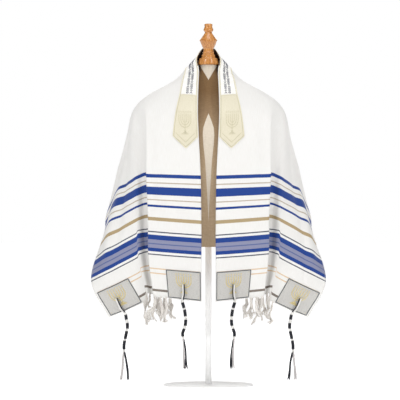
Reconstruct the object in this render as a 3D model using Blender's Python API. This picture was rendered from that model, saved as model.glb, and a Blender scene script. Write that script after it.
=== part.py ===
"""Tallit prayer shawl worn by a limbless dress form on a short counter stand.

Metres, +Z up. The origin is the middle of the stand's underside, the front of the shawl faces -Y.
Every piece is made for the +X half of the wearer first; the -X half is its mirror image.

The shawl is one cloth rectangle. A point on it is named by two lengths on the flat cloth:
    across  from the neck edge (0) to the outer edge (CLOTH_WIDTH)
    along   from the centre of the back (0) to the hem of one end (HALF_LENGTH)
The function shawl_point() drapes that point. Every piece that lies on the cloth is made from it.
"""
import math
from collections import namedtuple

import bmesh
import bpy
from mathutils import Vector

MM = 0.001

# ---- Driving sizes, in metres ------------------------------------------------------------------
CLOTH_WIDTH = 0.560
HALF_LENGTH = 0.930
CLOTH_WALL = 0.002
BAND_WALL = 0.0012
SEAM_GAP = 0.0003

CREASE_ACROSS = 0.190
SHOULDER_ACROSS = 0.095

BAND_WIDTH = 0.090
BAND_WAIST = 0.072
BAND_BACK_WIDTH = 0.066
BAND_BACK_RUN = 0.100
BAND_CENTRE_RUN = 0.250
BAND_SIDE_RUN = 0.392
BAND_POINT_RUN = 0.430

PATCH_ACROSS = 0.124
PATCH_ALONG = 0.094
PATCH_INSET = 0.003
OUTER_PATCH_INSET = 0.009

FRINGE_DROP = 0.078
FRINGE_THICK = 0.004
FRINGE_START = 0.132
FRINGE_END = 0.424
FRINGE_COLUMNS = 30
FRINGE_ROWS = 2

CORD_RADIUS = 0.005
CORD_STAND_OFF = 0.0072
CORD_POINT_STEP = 0.010

BASE_RADIUS = 0.150
BASE_HEIGHT = 0.008
BASE_EDGE = 0.003
BASE_SEGMENTS = 48
POST_RADIUS = 0.011
TURNED_SEGMENTS = 24
FORM_BOTTOM = 0.465
FORM_CHEST = 0.860
FORM_TOP = 1.0687
FORM_SEGMENTS = 40
FORM_RINGS_BELOW_CHEST = 6
FORM_RINGS_ABOVE_CHEST = 13
FORM_CLEARANCE = 0.009

# ---- How the cloth hangs -----------------------------------------------------------------------
# One row for each cross-section of the hanging cloth, at its own distance along from the centre
# back. Each column is where one lengthwise line of the cloth lies there, as (x, y, z) in mm.
#   inner     the neck edge, then the front edge
#   shoulder  the line that crosses the top of the shoulder half way out
#   crease    the line that crosses the shoulder's tip and becomes the outer edge of the front panel
#   fold      where the recessed strip behind the crease turns into the outer panel
#   side      the middle of the outer panel, round the arm's side
#   edge      the outer edge of the cloth
Section = namedtuple("Section", "along inner shoulder crease fold side edge")
SECTIONS = (
    Section(0, (0, 42, 1138), (0, 76, 1050), (0, 99, 958),
            (0, 105, 927), (0, 124, 725), (0, 128, 590)),
    Section(80, (41, 2, 1102), (96, 48, 1062), (106, 88, 982),
            (106, 95, 948), (96, 121, 738), (92, 126, 598)),
    Section(145, (36, -42, 1054), (108, -2, 1053), (174, 52, 990),
            (184, 68, 962), (174, 114, 746), (166, 124, 602)),
    Section(210, (33, -86, 1002), (103, -28, 1014), (212, -12, 985),
            (245, 6, 965), (232, 104, 768), (222, 132, 624)),
    Section(330, (35, -138, 890), (122, -126, 893), (211, -98, 896),
            (260, -50, 884), (278, 72, 744), (272, 168, 618)),
    Section(520, (26, -142, 696), (118, -140, 699), (210, -132, 702),
            (246, -84, 690), (318, 30, 648), (326, 120, 566)),
    Section(670, (24, -142, 547), (115, -140, 553), (204, -134, 560),
            (241, -94, 553), (345, -48, 496), (362, 16, 468)),
    Section(790, (23, -142, 427), (113, -140, 433), (202, -134, 441),
            (232, -100, 427), (328, -82, 378), (388, -46, 348)),
    Section(930, (22, -142, 286), (105, -139, 295), (186, -132, 303),
            (194, -92, 291), (272, -86, 253), (329, -52, 231)),
)

# The tuck behind the crease: how deep it is at the shoulder and how much deeper at the hem, and the
# width of the recessed strip that shows beside it.
TUCK_START = 0.210
TUCK_AT_SHOULDER = 0.010
TUCK_GROWTH = 0.073
RECESS_AT_SHOULDER = 0.012
RECESS_GROWTH = 0.033
TUCK_OPENS_OVER = 0.250
TUCK_DIRECTION = Vector((-0.88, 0.42, 0.10))
RECESS_SET_BACK = Vector((0.006, 0.050, 0.008))
SIDE_SHARE = 0.6

# How softly the cloth bends across each lengthwise line, in metres of cloth: the folds are crisp in
# front, and all of them are gone on the back.
Bend = namedtuple("Bend", "shoulder crease valley recess fold side")
BEND_IN_FRONT = Bend(0.050, 0.006, 0.007, 0.012, 0.018, 0.034)
BEND_ON_BACK = 0.070

# Soft folds that spread from the shoulder's tip over the back of the arm.
RIPPLE_COUNT = 2
RIPPLE_SLOPE = 0.065
RIPPLE_FROM = math.radians(40)
RIPPLE_TO = math.radians(106)


def ramp(distance, softness):
    """Zero before a bend and rising evenly after it, rounded over the softness."""
    return 0.5 * (distance + math.sqrt(distance * distance + softness * softness))


def bent_line(knots, points, softness, t):
    """Straight runs through the points, with each bend rounded by its own softness."""
    slopes = [(b - a) / (q - p) for a, b, p, q in zip(points, points[1:], knots, knots[1:])]
    place = points[0] + slopes[0] * (t - knots[0])
    for knot, before, after, soft in zip(knots[1:-1], slopes, slopes[1:], softness):
        place = place + (after - before) * ramp(t - knot, soft)
    return place


def smooth_line(knots, points, t):
    """Smooth curve through the points: a cubic with each tangent taken from its two neighbours."""
    last = len(knots) - 1
    i = max(j for j in range(last) if knots[j] <= t or j == 0)
    span = knots[i + 1] - knots[i]

    def tangent(j):
        low, high = max(j - 1, 0), min(j + 1, last)
        return (points[high] - points[low]) / (knots[high] - knots[low])

    u = (t - knots[i]) / span
    start, end = points[i], points[i + 1]
    return (start * (1 + 2 * u) * (1 - u) ** 2 + end * u * u * (3 - 2 * u)
            + tangent(i) * (span * u * (1 - u) ** 2) - tangent(i + 1) * (span * u * u * (1 - u)))


def ease(value):
    value = min(max(value, 0.0), 1.0)
    return value * value * (3 - 2 * value)


# ---- The dress form ----------------------------------------------------------------------------
# Height, half width, depth to the front and depth to the back, all in mm.
FormSection = namedtuple("FormSection", "height half_width front back")
FORM_SECTIONS = (
    FormSection(465, 158, 102, 98),
    FormSection(560, 152, 107, 92),
    FormSection(640, 150, 112, 86),
    FormSection(700, 160, 117, 88),
    FormSection(780, 178, 124, 95),
    FormSection(845, 190, 125, 97),
    FormSection(890, 196, 110, 92),
    FormSection(930, 196, 88, 80),
    FormSection(955, 182, 71, 67),
    FormSection(985, 142, 53, 53),
    FormSection(1010, 90, 41, 42),
    FormSection(1030, 50, 34, 35),
    FormSection(1046, 32, 31, 31),
    FormSection(1068.7, 29, 29, 29),
)


def form_size(height):
    """Half width, front depth and back depth of the dress form at a height."""
    knots = [row.height * MM for row in FORM_SECTIONS]
    sizes = [Vector((row.half_width, row.front, row.back)) * MM for row in FORM_SECTIONS]
    return smooth_line(knots, sizes, min(max(height, knots[0]), knots[-1]))


def clear_of_form(point):
    """Moves a point of cloth that would cut into the form straight out of it."""
    if not FORM_BOTTOM < point.z < FORM_TOP:
        return point
    half_width, front, back = form_size(point.z)
    depth = front if point.y < 0 else back
    reach = math.hypot(point.x / (half_width + FORM_CLEARANCE), point.y / (depth + FORM_CLEARANCE))
    if reach >= 1.0 or reach < 1e-6:
        return point
    return Vector((point.x / reach, point.y / reach, point.z))


# ---- The draped cloth --------------------------------------------------------------------------
def lines_across(along):
    """Where the named lengthwise lines lie on the flat cloth, at a distance along it."""
    growth = min(max((along - TUCK_START) / (HALF_LENGTH - TUCK_START), 0.0), 1.0)
    tuck = TUCK_AT_SHOULDER + TUCK_GROWTH * growth
    valley = CREASE_ACROSS + tuck
    recess = valley + tuck
    fold = recess + RECESS_AT_SHOULDER + RECESS_GROWTH * growth
    side = fold + SIDE_SHARE * (CLOTH_WIDTH - fold)
    return (0.0, SHOULDER_ACROSS, CREASE_ACROSS, valley, recess, fold, side, CLOTH_WIDTH)


def section_points(along):
    """The eight named points of the cross-section at a distance along, at their places in the drape."""
    to_other_half = Vector((-1, 1, 1))
    knots = [-SECTIONS[1].along * MM] + [row.along * MM for row in SECTIONS]
    placed = []
    for column in ("inner", "shoulder", "crease", "fold", "side", "edge"):
        points = [Vector(getattr(row, column)) * MM for row in SECTIONS]
        points.insert(0, points[1] * to_other_half)
        placed.append(smooth_line(knots, points, along))
    inner, shoulder, crease, fold, side, edge = placed
    across = lines_across(along)
    tuck = across[3] - across[2]
    flat_valley = crease.lerp(fold, (across[3] - across[2]) / (across[5] - across[2]))
    flat_recess = crease.lerp(fold, (across[4] - across[2]) / (across[5] - across[2]))
    opened = ease((along - TUCK_START) / TUCK_OPENS_OVER)
    valley = flat_valley.lerp(crease + TUCK_DIRECTION * tuck, opened)
    recess = flat_recess.lerp(crease + RECESS_SET_BACK, opened)
    return [inner, shoulder, crease, valley, recess, fold, side, edge]


def arm_ripple(across, along):
    """How far the soft folds behind the arm stand out: none at the shoulder's tip, most at the edge."""
    from_tip = Vector((along - TUCK_START, across - CREASE_ACROSS))
    turn = math.atan2(from_tip.y, from_tip.x)
    share = (turn - RIPPLE_FROM) / (RIPPLE_TO - RIPPLE_FROM)
    if not 0 < share < 1 or from_tip.y < 0:
        return 0.0
    fade = ease(share * 4) * ease((1 - share) * 4)
    return RIPPLE_SLOPE * from_tip.length * fade * math.sin(math.tau * RIPPLE_COUNT * share)


def draped(across, along):
    """The cloth's middle surface without the arm's soft folds."""
    opened = ease((along - TUCK_START / 2) / TUCK_OPENS_OVER)
    softness = [BEND_ON_BACK + (soft - BEND_ON_BACK) * opened for soft in BEND_IN_FRONT]
    return bent_line(lines_across(along), section_points(along), softness, across)


def shawl_point(across, along, lift=0.0):
    """A point of the draped cloth, moved out of its surface by lift."""
    step = 0.002
    low, high = max(along - step, 0.0), min(along + step, HALF_LENGTH)
    left, right = max(across - step, 0.0), min(across + step, CLOTH_WIDTH)
    down = draped(across, high) - draped(across, low)
    outwards = draped(right, along) - draped(left, along)
    normal = down.cross(outwards).normalized()
    place = draped(across, along) + normal * arm_ripple(across, along)
    return clear_of_form(place) + normal * lift


# ---- Mesh helpers ------------------------------------------------------------------------------
def new_object(name, mesh, material):
    piece = bpy.data.objects.new(name, mesh)
    bpy.context.scene.collection.objects.link(piece)
    mesh.materials.append(material)
    return piece


def mirrored(point, sign):
    return Vector((point.x * sign, point.y, point.z))


def wall_mesh(name, outer, inner, turned_rows=0):
    """Closed wall between two equal grids of points, outer facing out.

    Every quad is split along the same diagonal of the flat cloth, so walls that lie on each other
    never cross. The first turned_rows rows run from hem to neck, where it is the other diagonal.
    """
    rows, columns = len(outer), len(outer[0])
    shell = bmesh.new()
    top = [[shell.verts.new(p) for p in row] for row in outer]
    under = [[shell.verts.new(p) for p in row] for row in inner]
    for r in range(rows - 1):
        for c in range(columns - 1):
            for grid, backwards in ((top, False), (under, True)):
                near, near_next = grid[r][c:c + 2]
                far, far_next = grid[r + 1][c:c + 2]
                halves = [(near, far, far_next), (near, far_next, near_next)]
                if r < turned_rows:
                    halves = [(near, far, near_next), (far, far_next, near_next)]
                for half in halves:
                    shell.faces.new(half[::-1] if backwards else half)
    for r in range(rows - 1):
        shell.faces.new((top[r + 1][0], top[r][0], under[r][0], under[r + 1][0]))
        shell.faces.new((top[r][-1], top[r + 1][-1], under[r + 1][-1], under[r][-1]))
    for c in range(columns - 1):
        shell.faces.new((top[0][c], top[0][c + 1], under[0][c + 1], under[0][c]))
        shell.faces.new((top[-1][c + 1], top[-1][c], under[-1][c], under[-1][c + 1]))
    bmesh.ops.triangulate(shell, faces=shell.faces)
    if shell.calc_volume(signed=True) < 0:
        bmesh.ops.reverse_faces(shell, faces=shell.faces)
    mesh = bpy.data.meshes.new(name)
    shell.to_mesh(mesh)
    shell.free()
    mesh.shade_smooth()
    return mesh


def spread(start, end, count):
    return [start + (end - start) * i / count for i in range(count + 1)]


def cloth_wall(name, grid, sign, lift, wall, material):
    """A piece of cloth from a grid of (across, along) pairs, lying at a lift above the shawl's middle."""
    outer = [[mirrored(shawl_point(a, s, lift + wall), sign) for a, s in row] for row in grid]
    inner = [[mirrored(shawl_point(a, s, lift), sign) for a, s in row] for row in grid]
    return new_object(name, wall_mesh(name, outer, inner), material)


def make_material(name, colour, roughness, metallic=0.0):
    material = bpy.data.materials.new(name)
    material.use_nodes = True
    shader = material.node_tree.nodes["Principled BSDF"]
    shader.inputs["Base Color"].default_value = (*colour, 1.0)
    shader.inputs["Roughness"].default_value = roughness
    shader.inputs["Metallic"].default_value = metallic
    return material


# ---- The grid that all cloth shares ------------------------------------------------------------
# The shawl, its band and its patches use the same lines of the cloth, so each lies flat on the next.
ALONG_STOPS = (0.0, BAND_CENTRE_RUN, BAND_SIDE_RUN, BAND_POINT_RUN, 0.520, 0.670,
               HALF_LENGTH - PATCH_INSET - PATCH_ALONG, HALF_LENGTH - PATCH_INSET, HALF_LENGTH)
ALONG_STEPS = (14, 6, 2, 3, 4, 4, 4, 1)
OUTER_PATCH_START = CLOTH_WIDTH - OUTER_PATCH_INSET - PATCH_ACROSS
ACROSS_STEPS = (1, 5, 2, 3, 2, 2, 2, 3, 4, 1)


def steps_through(stops, counts):
    values = [stops[0]]
    for low, high, count in zip(stops, stops[1:], counts):
        values += spread(low, high, count)[1:]
    return values


def along_lines(low=0.0, high=HALF_LENGTH):
    values = steps_through(ALONG_STOPS, ALONG_STEPS)
    return [v for v in values if low - SEAM_GAP < v < high + SEAM_GAP]


def band_edge(along):
    """The band's outer edge: narrowest at its satin joints, from where the satin flares."""
    if along > BAND_CENTRE_RUN:
        share = min((along - BAND_CENTRE_RUN) / (BAND_SIDE_RUN - BAND_CENTRE_RUN), 1.0)
        return BAND_WAIST + (BAND_WIDTH - BAND_WAIST) * share
    share = min((BAND_CENTRE_RUN - along) / (BAND_CENTRE_RUN - BAND_BACK_RUN), 1.0)
    return BAND_WAIST + (BAND_BACK_WIDTH - BAND_WAIST) * share


def across_lines(along, low=0.0, high=CLOTH_WIDTH):
    _, _, crease, valley, recess, fold, _, _ = lines_across(along)
    stops = (0.0, PATCH_INSET, band_edge(along), PATCH_INSET + PATCH_ACROSS, crease, valley, recess, fold,
             OUTER_PATCH_START, CLOTH_WIDTH - OUTER_PATCH_INSET, CLOTH_WIDTH)
    values = steps_through(stops, ACROSS_STEPS)
    return [v for v in values if low - SEAM_GAP < v < high + SEAM_GAP]


# ---- The pieces --------------------------------------------------------------------------------
def both_halves(name, along_values, across_of, low, high, material):
    """A wall that crosses the centre of the back, between two lifts above the shawl's middle."""
    outer, inner = [], []
    turned_rows = len(along_values) - 1
    for sign, values in ((-1, along_values[:0:-1]), (1, along_values)):
        for along in values:
            outer.append([mirrored(shawl_point(a, along, high), sign) for a in across_of(along)])
            inner.append([mirrored(shawl_point(a, along, low), sign) for a in across_of(along)])
    return new_object(name, wall_mesh(name, outer, inner, turned_rows), material)


def make_shawl(material):
    """The one cloth rectangle, both halves in one wall."""
    half = CLOTH_WALL / 2
    return both_halves("shawl_cloth", along_lines(), across_lines, -half, half, material)


def band_lines(along):
    return across_lines(along, PATCH_INSET, band_edge(along))


def make_neck_band(material):
    """The atarah's middle: one strip round the neck, as wide as its ends."""
    low = CLOTH_WALL / 2 + SEAM_GAP
    values = along_lines(0.0, BAND_CENTRE_RUN)
    values[-1] -= SEAM_GAP / 2
    return both_halves("atarah_neck_band", values, band_lines, low, low + BAND_WALL, material)


def make_band_end(side, sign, material):
    """The satin end of the atarah, cut to a point."""
    middle = (PATCH_INSET + BAND_WIDTH) / 2
    half = (BAND_WIDTH - PATCH_INSET) / 2
    straight = along_lines(BAND_CENTRE_RUN, BAND_SIDE_RUN)
    straight[0] += SEAM_GAP / 2
    rows = [[(across, along) for across in band_lines(along)] for along in straight]
    for share in (0.5, 1.0):
        rows.append([])
        for across in band_lines(BAND_SIDE_RUN):
            tip = (BAND_POINT_RUN - BAND_SIDE_RUN) * (1 - abs(across - middle) / half) + SEAM_GAP
            rows[-1].append((across, BAND_SIDE_RUN + tip * share))
    lift = CLOTH_WALL / 2 + SEAM_GAP
    return cloth_wall("atarah_end_" + side, rows, sign, lift, BAND_WALL, material)


def make_patch(corner, side, sign, material):
    """A satin corner patch, in from the cloth's own corner by a narrow margin."""
    start = PATCH_INSET if corner == "inner" else OUTER_PATCH_START
    end = HALF_LENGTH - PATCH_INSET
    rows = []
    for along in along_lines(end - PATCH_ALONG, end):
        rows.append([(across, along) for across in across_lines(along, start, start + PATCH_ACROSS)])
    name = "corner_patch_%s_%s" % (corner, side)
    return cloth_wall(name, rows, sign, CLOTH_WALL / 2 + SEAM_GAP, BAND_WALL, material)


def make_fringe(side, sign, material):
    """The reach of the knotted fringe: a thin curtain straight down from the hem."""
    hem = [shawl_point(a, HALF_LENGTH) for a in spread(FRINGE_START, FRINGE_END, FRINGE_COLUMNS)]
    drops = spread(CLOTH_WALL, FRINGE_DROP, FRINGE_ROWS)
    outer, inner = [], []
    for drop in drops:
        top, under = [], []
        for i, place in enumerate(hem):
            run = hem[min(i + 1, len(hem) - 1)] - hem[max(i - 1, 0)]
            facing = Vector((run.y, -run.x, 0)).normalized() * FRINGE_THICK / 2
            hang = place - Vector((0, 0, drop))
            top.append(mirrored(hang + facing, sign))
            under.append(mirrored(hang - facing, sign))
        outer.append(top)
        inner.append(under)
    return new_object("fringe_" + side, wall_mesh("fringe_" + side, outer, inner), material)


# The corner cords, from the hole in the patch to the free ends. First the distances across and along
# of the stretch that lies on the patch, then the (x, z) of the stretch that hangs free, in mm.
CordRoute = namedtuple("CordRoute", "across along hanging")
CORD_ROUTES = {
    "inner": CordRoute((0.066, 0.067), (0.878, 0.912),
                       ((86, 288), (82, 273), (77, 251), (75, 219), (80, 198), (85, 183),
                        (82, 164), (78, 128), (76, 68))),
    "outer": CordRoute((0.498, 0.502), (0.878, 0.912),
                       ((274, 244), (271, 230), (267, 204), (272, 175), (278, 145), (278, 120),
                        (276, 84), (276, 28))),
}


def cord_line(corner):
    """Smooth centre line of a corner cord, as evenly spaced points."""
    route = CORD_ROUTES[corner]
    lift = CLOTH_WALL / 2 + SEAM_GAP + BAND_WALL + CORD_STAND_OFF
    points = [shawl_point(a, s, lift) for a, s in zip(route.across, route.along)]
    front = min(p.y for p in points) - 0.001
    points += [Vector((x * MM, front, z * MM)) for x, z in route.hanging]
    knots = [0.0]
    for a, b in zip(points, points[1:]):
        knots.append(knots[-1] + (b - a).length)
    count = round(knots[-1] / CORD_POINT_STEP)
    return [smooth_line(knots, points, t) for t in spread(0.0, knots[-1], count)]


def make_cord(corner, side, sign, material):
    """A knotted corner cord (tzitzit), as the plain tube that its windings fill."""
    curve = bpy.data.curves.new("tzitzit_%s_%s" % (corner, side), "CURVE")
    curve.dimensions = "3D"
    curve.bevel_depth = CORD_RADIUS
    curve.bevel_resolution = 2
    curve.use_fill_caps = True
    line = cord_line(corner)
    spline = curve.splines.new("POLY")
    spline.points.add(len(line) - 1)
    for spot, place in zip(spline.points, line):
        spot.co = (*mirrored(place, sign), 1.0)
    return new_object(curve.name, curve, material)


def lathe(name, profile, segments, material):
    """A turned piece from (radius, height) pairs, bottom to top, closed on its axis."""
    body = bmesh.new()
    rings = []
    for radius, height in profile:
        ring = []
        for k in range(segments):
            turn = math.tau * k / segments
            ring.append(body.verts.new((radius * math.cos(turn), radius * math.sin(turn), height)))
        rings.append(ring)
    for low, high in zip(rings, rings[1:]):
        for k in range(segments):
            n = (k + 1) % segments
            body.faces.new((low[k], low[n], high[n], high[k]))
    body.faces.new(list(reversed(rings[0])))
    body.faces.new(rings[-1])
    mesh = bpy.data.meshes.new(name)
    body.to_mesh(mesh)
    body.free()
    mesh.shade_smooth()
    mesh.set_sharp_from_angle(angle=math.radians(35))
    return new_object(name, mesh, material)


# Radius and height of the turned neck cap's outline, in mm, bottom to top.
CapRing = namedtuple("CapRing", "radius height")
CAP_PROFILE = (
    CapRing(33.6, 1069.0), CapRing(34.6, 1071.0), CapRing(34.2, 1076.0), CapRing(29.6, 1090.5),
    CapRing(23.6, 1092.5), CapRing(22.6, 1095.0), CapRing(22.6, 1101.5), CapRing(19.0, 1104.5),
    CapRing(18.4, 1107.5), CapRing(19.4, 1110.5), CapRing(17.2, 1114.0), CapRing(16.6, 1121.5),
    CapRing(18.0, 1124.0), CapRing(21.6, 1132.0), CapRing(26.2, 1143.0), CapRing(27.0, 1146.5),
    CapRing(29.2, 1149.0), CapRing(29.2, 1152.5), CapRing(25.0, 1157.0), CapRing(19.2, 1165.0),
    CapRing(12.6, 1174.5), CapRing(11.6, 1178.0), CapRing(14.6, 1180.5), CapRing(16.2, 1184.0),
    CapRing(16.0, 1188.0), CapRing(13.6, 1193.0), CapRing(12.6, 1198.0), CapRing(13.8, 1201.0),
    CapRing(13.2, 1204.5), CapRing(11.4, 1206.0),
)


def make_neck_cap(material):
    profile = [(ring.radius * MM, ring.height * MM) for ring in CAP_PROFILE]
    return lathe("neck_cap", profile, TURNED_SEGMENTS, material)


def make_form(material):
    """The torso: level ovals of the form's half width and depths, closed flat below and at the neck."""
    heights = spread(FORM_BOTTOM, FORM_CHEST, FORM_RINGS_BELOW_CHEST)
    heights += spread(FORM_CHEST, FORM_TOP, FORM_RINGS_ABOVE_CHEST)[1:]
    body = bmesh.new()
    rings = []
    for height in heights:
        half_width, front, back = form_size(height)
        ring = []
        for k in range(FORM_SEGMENTS):
            turn = math.tau * k / FORM_SEGMENTS
            depth = back if math.sin(turn) > 0 else front
            ring.append(body.verts.new((half_width * math.cos(turn), depth * math.sin(turn), height)))
        rings.append(ring)
    for low, high in zip(rings, rings[1:]):
        for k in range(FORM_SEGMENTS):
            n = (k + 1) % FORM_SEGMENTS
            body.faces.new((low[k], low[n], high[n], high[k]))
    body.faces.new(list(reversed(rings[0])))
    body.faces.new(rings[-1])
    mesh = bpy.data.meshes.new("dress_form")
    body.to_mesh(mesh)
    body.free()
    mesh.shade_smooth()
    mesh.set_sharp_from_angle(angle=math.radians(50))
    return new_object("dress_form", mesh, material)


def make_stand(material):
    """A round foot plate and a straight post up to the form's underside."""
    plate = [(BASE_RADIUS, 0.0), (BASE_RADIUS, BASE_HEIGHT - BASE_EDGE)]
    plate.append((BASE_RADIUS - BASE_EDGE, BASE_HEIGHT))
    lathe("stand_base", plate, BASE_SEGMENTS, material)
    post_low, post_high = BASE_HEIGHT + SEAM_GAP, FORM_BOTTOM - SEAM_GAP
    lathe("stand_post", [(POST_RADIUS, post_low), (POST_RADIUS, post_high)], TURNED_SEGMENTS, material)


def main():
    for old in list(bpy.data.objects):
        bpy.data.objects.remove(old, do_unlink=True)
    wool = make_material("white_woven_shawl", (0.86, 0.85, 0.82), 0.85)
    band = make_material("atarah_cotton", (0.84, 0.83, 0.79), 0.75)
    satin = make_material("cream_satin", (0.83, 0.80, 0.66), 0.45)
    silver = make_material("silver_grey_satin", (0.58, 0.60, 0.58), 0.45)
    yarn = make_material("knotted_yarn", (0.80, 0.77, 0.70), 0.85)
    cord = make_material("white_and_black_cord", (0.30, 0.30, 0.34), 0.80)
    linen = make_material("cream_linen", (0.76, 0.69, 0.60), 0.80)
    wood = make_material("turned_beech", (0.50, 0.20, 0.05), 0.40)
    paint = make_material("white_painted_steel", (0.85, 0.85, 0.85), 0.40)

    make_shawl(wool)
    make_neck_band(band)
    for side, sign in (("left", -1), ("right", 1)):
        make_band_end(side, sign, satin)
        make_fringe(side, sign, yarn)
        for corner in ("inner", "outer"):
            make_patch(corner, side, sign, silver)
            make_cord(corner, side, sign, cord)
    make_form(linen)
    make_neck_cap(wood)
    make_stand(paint)


main()
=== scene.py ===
# %% [markdown]
# # A prayer shawl on a dress form
# This lesson dresses a measured model. The frame holds each piece as a plain solid at its real place
# and size; here every soft piece is made again as cloth, yarn or cord, and every hard one gets its
# finish. Lengths are metres and +Z is up. The shawl opens towards -Y, and +X is the wearer's left.

# %% Load the frame
import math
from collections import namedtuple

import bmesh
import bpy
import numpy as np
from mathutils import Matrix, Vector, noise


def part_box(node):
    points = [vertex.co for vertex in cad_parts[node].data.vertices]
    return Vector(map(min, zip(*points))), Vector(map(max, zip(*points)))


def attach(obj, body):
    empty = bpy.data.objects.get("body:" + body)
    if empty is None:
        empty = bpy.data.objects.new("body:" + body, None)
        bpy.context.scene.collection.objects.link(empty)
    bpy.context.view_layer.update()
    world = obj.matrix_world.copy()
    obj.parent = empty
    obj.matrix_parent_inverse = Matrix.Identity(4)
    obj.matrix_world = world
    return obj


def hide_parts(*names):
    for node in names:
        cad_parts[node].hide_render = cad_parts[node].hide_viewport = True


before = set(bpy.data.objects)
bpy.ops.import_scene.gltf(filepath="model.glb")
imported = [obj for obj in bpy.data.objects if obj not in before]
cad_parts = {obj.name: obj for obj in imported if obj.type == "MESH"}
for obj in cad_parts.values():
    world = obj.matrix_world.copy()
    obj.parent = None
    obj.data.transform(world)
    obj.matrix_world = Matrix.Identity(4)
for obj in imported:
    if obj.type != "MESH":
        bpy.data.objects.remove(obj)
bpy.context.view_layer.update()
MM = 0.001

# %% [markdown]
# ## The camera comes first
# The garment is seen level and from far off, so its edges stay upright and both ends of the shawl
# keep the same size. A long lens does that: the distance is chosen, and the lens follows from the
# width that the view has to take in.

# %% Camera
VIEW_WIDTH = 1.320
VIEW_CENTRE = Vector((-0.028, -0.070, 0.620))
CAMERA_DISTANCE = 9.0

camera_data = bpy.data.cameras.new("level_camera")
camera_data.sensor_width = 36.0
camera_data.lens = camera_data.sensor_width * CAMERA_DISTANCE / VIEW_WIDTH
camera_data.clip_end = 100.0
camera = bpy.data.objects.new("level_camera", camera_data)
camera.location = VIEW_CENTRE - Vector((0, CAMERA_DISTANCE, 0))
camera.rotation_euler = (math.radians(90), 0, 0)
bpy.context.scene.collection.objects.link(camera)
bpy.context.scene.camera = camera
print("lens:", round(camera_data.lens), "mm")

# %% [markdown]
# ## Sizes of the cloth
# A tallit is one rectangle. A point on it is named by two lengths on the flat cloth: `across`, from
# the neck edge to the outer edge, and `along`, from the centre of the back to the hem of one end.
# Stripes, patches and bands are all placed in those two lengths, as a weaver would place them.

# %% Sizes
CLOTH_WIDTH = 0.560
HALF_LENGTH = 0.930
CLOTH_WALL = 0.0018
BAND_WALL = 0.0012
SEAM_GAP = 0.0003
CREASE_ACROSS = 0.190
SHOULDER_ACROSS = 0.095
# The neck band's outer edge at the back, at its satin joint and where its point begins, and how far
# along each of those and the tip of the point lie.
BAND_BACK_WIDTH, BAND_WAIST, BAND_WIDTH = 0.066, 0.072, 0.090
BAND_BACK_RUN, BAND_CENTRE_RUN, BAND_SIDE_RUN = 0.100, 0.250, 0.392
BAND_POINT_RUN = 0.430
PATCH_ACROSS = 0.124
PATCH_ALONG = 0.094
PATCH_INSET = 0.003
OUTER_PATCH_INSET = 0.009

# %% [markdown]
# ## How the cloth hangs
# The drape is drawn as a tailor would pin it: nine cross-sections, each at its own distance along,
# with six lengthwise lines of the cloth placed on each, in millimetres. Two more lines lie inside the
# tuck behind the crease and are worked out from its depth. A smooth curve joins a line from section
# to section, and across a section the cloth runs straight from line to line with each bend rounded
# by its own softness. A cloth simulation could drape it too, but its folds fall by chance. This is a
# formula, so the folds are where they belong and any piece can be laid on the cloth exactly.

# %% The drape
Section = namedtuple("Section", "along inner shoulder crease fold side edge")
SECTIONS = (
    Section(0, (0, 42, 1138), (0, 76, 1050), (0, 99, 958),
            (0, 105, 927), (0, 124, 725), (0, 128, 590)),
    Section(80, (41, 2, 1102), (96, 48, 1062), (106, 88, 982),
            (106, 95, 948), (96, 121, 738), (92, 126, 598)),
    Section(145, (36, -42, 1054), (108, -2, 1053), (174, 52, 990),
            (184, 68, 962), (174, 114, 746), (166, 124, 602)),
    Section(210, (33, -86, 1002), (103, -28, 1014), (212, -12, 985),
            (245, 6, 965), (232, 104, 768), (222, 132, 624)),
    Section(330, (35, -138, 890), (122, -126, 893), (211, -98, 896),
            (260, -50, 884), (278, 72, 744), (272, 168, 618)),
    Section(520, (26, -142, 696), (118, -140, 699), (210, -132, 702),
            (246, -84, 690), (318, 30, 648), (326, 120, 566)),
    Section(670, (24, -142, 547), (115, -140, 553), (204, -134, 560),
            (241, -94, 553), (345, -48, 496), (362, 16, 468)),
    Section(790, (23, -142, 427), (113, -140, 433), (202, -134, 441),
            (232, -100, 427), (328, -82, 378), (388, -46, 348)),
    Section(930, (22, -142, 286), (105, -139, 295), (186, -132, 303),
            (194, -92, 291), (272, -86, 253), (329, -52, 231)),
)

TUCK_START = 0.210
TUCK_AT_SHOULDER = 0.010
TUCK_GROWTH = 0.073
RECESS_AT_SHOULDER = 0.012
RECESS_GROWTH = 0.033
TUCK_OPENS_OVER = 0.250
TUCK_DIRECTION = np.array((-0.88, 0.42, 0.10))
RECESS_SET_BACK = np.array((0.006, 0.050, 0.008))
SIDE_SHARE = 0.6
Bend = namedtuple("Bend", "shoulder crease valley recess fold side")
BEND_IN_FRONT = Bend(0.050, 0.006, 0.007, 0.012, 0.018, 0.034)
BEND_ON_BACK = 0.070
RIPPLE_COUNT = 2
RIPPLE_SLOPE = 0.065
RIPPLE_FROM = math.radians(40)
RIPPLE_TO = math.radians(106)
RIPPLE_FADE = 0.25


def ease(value):
    """A soft step from 0 to 1 as the value goes from 0 to 1."""
    value = np.clip(value, 0.0, 1.0)
    return value * value * (3 - 2 * value)


def ramp(distance, softness):
    """Zero before a bend and rising evenly after it, rounded over the softness."""
    return 0.5 * (distance + np.sqrt(distance * distance + softness * softness))


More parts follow.
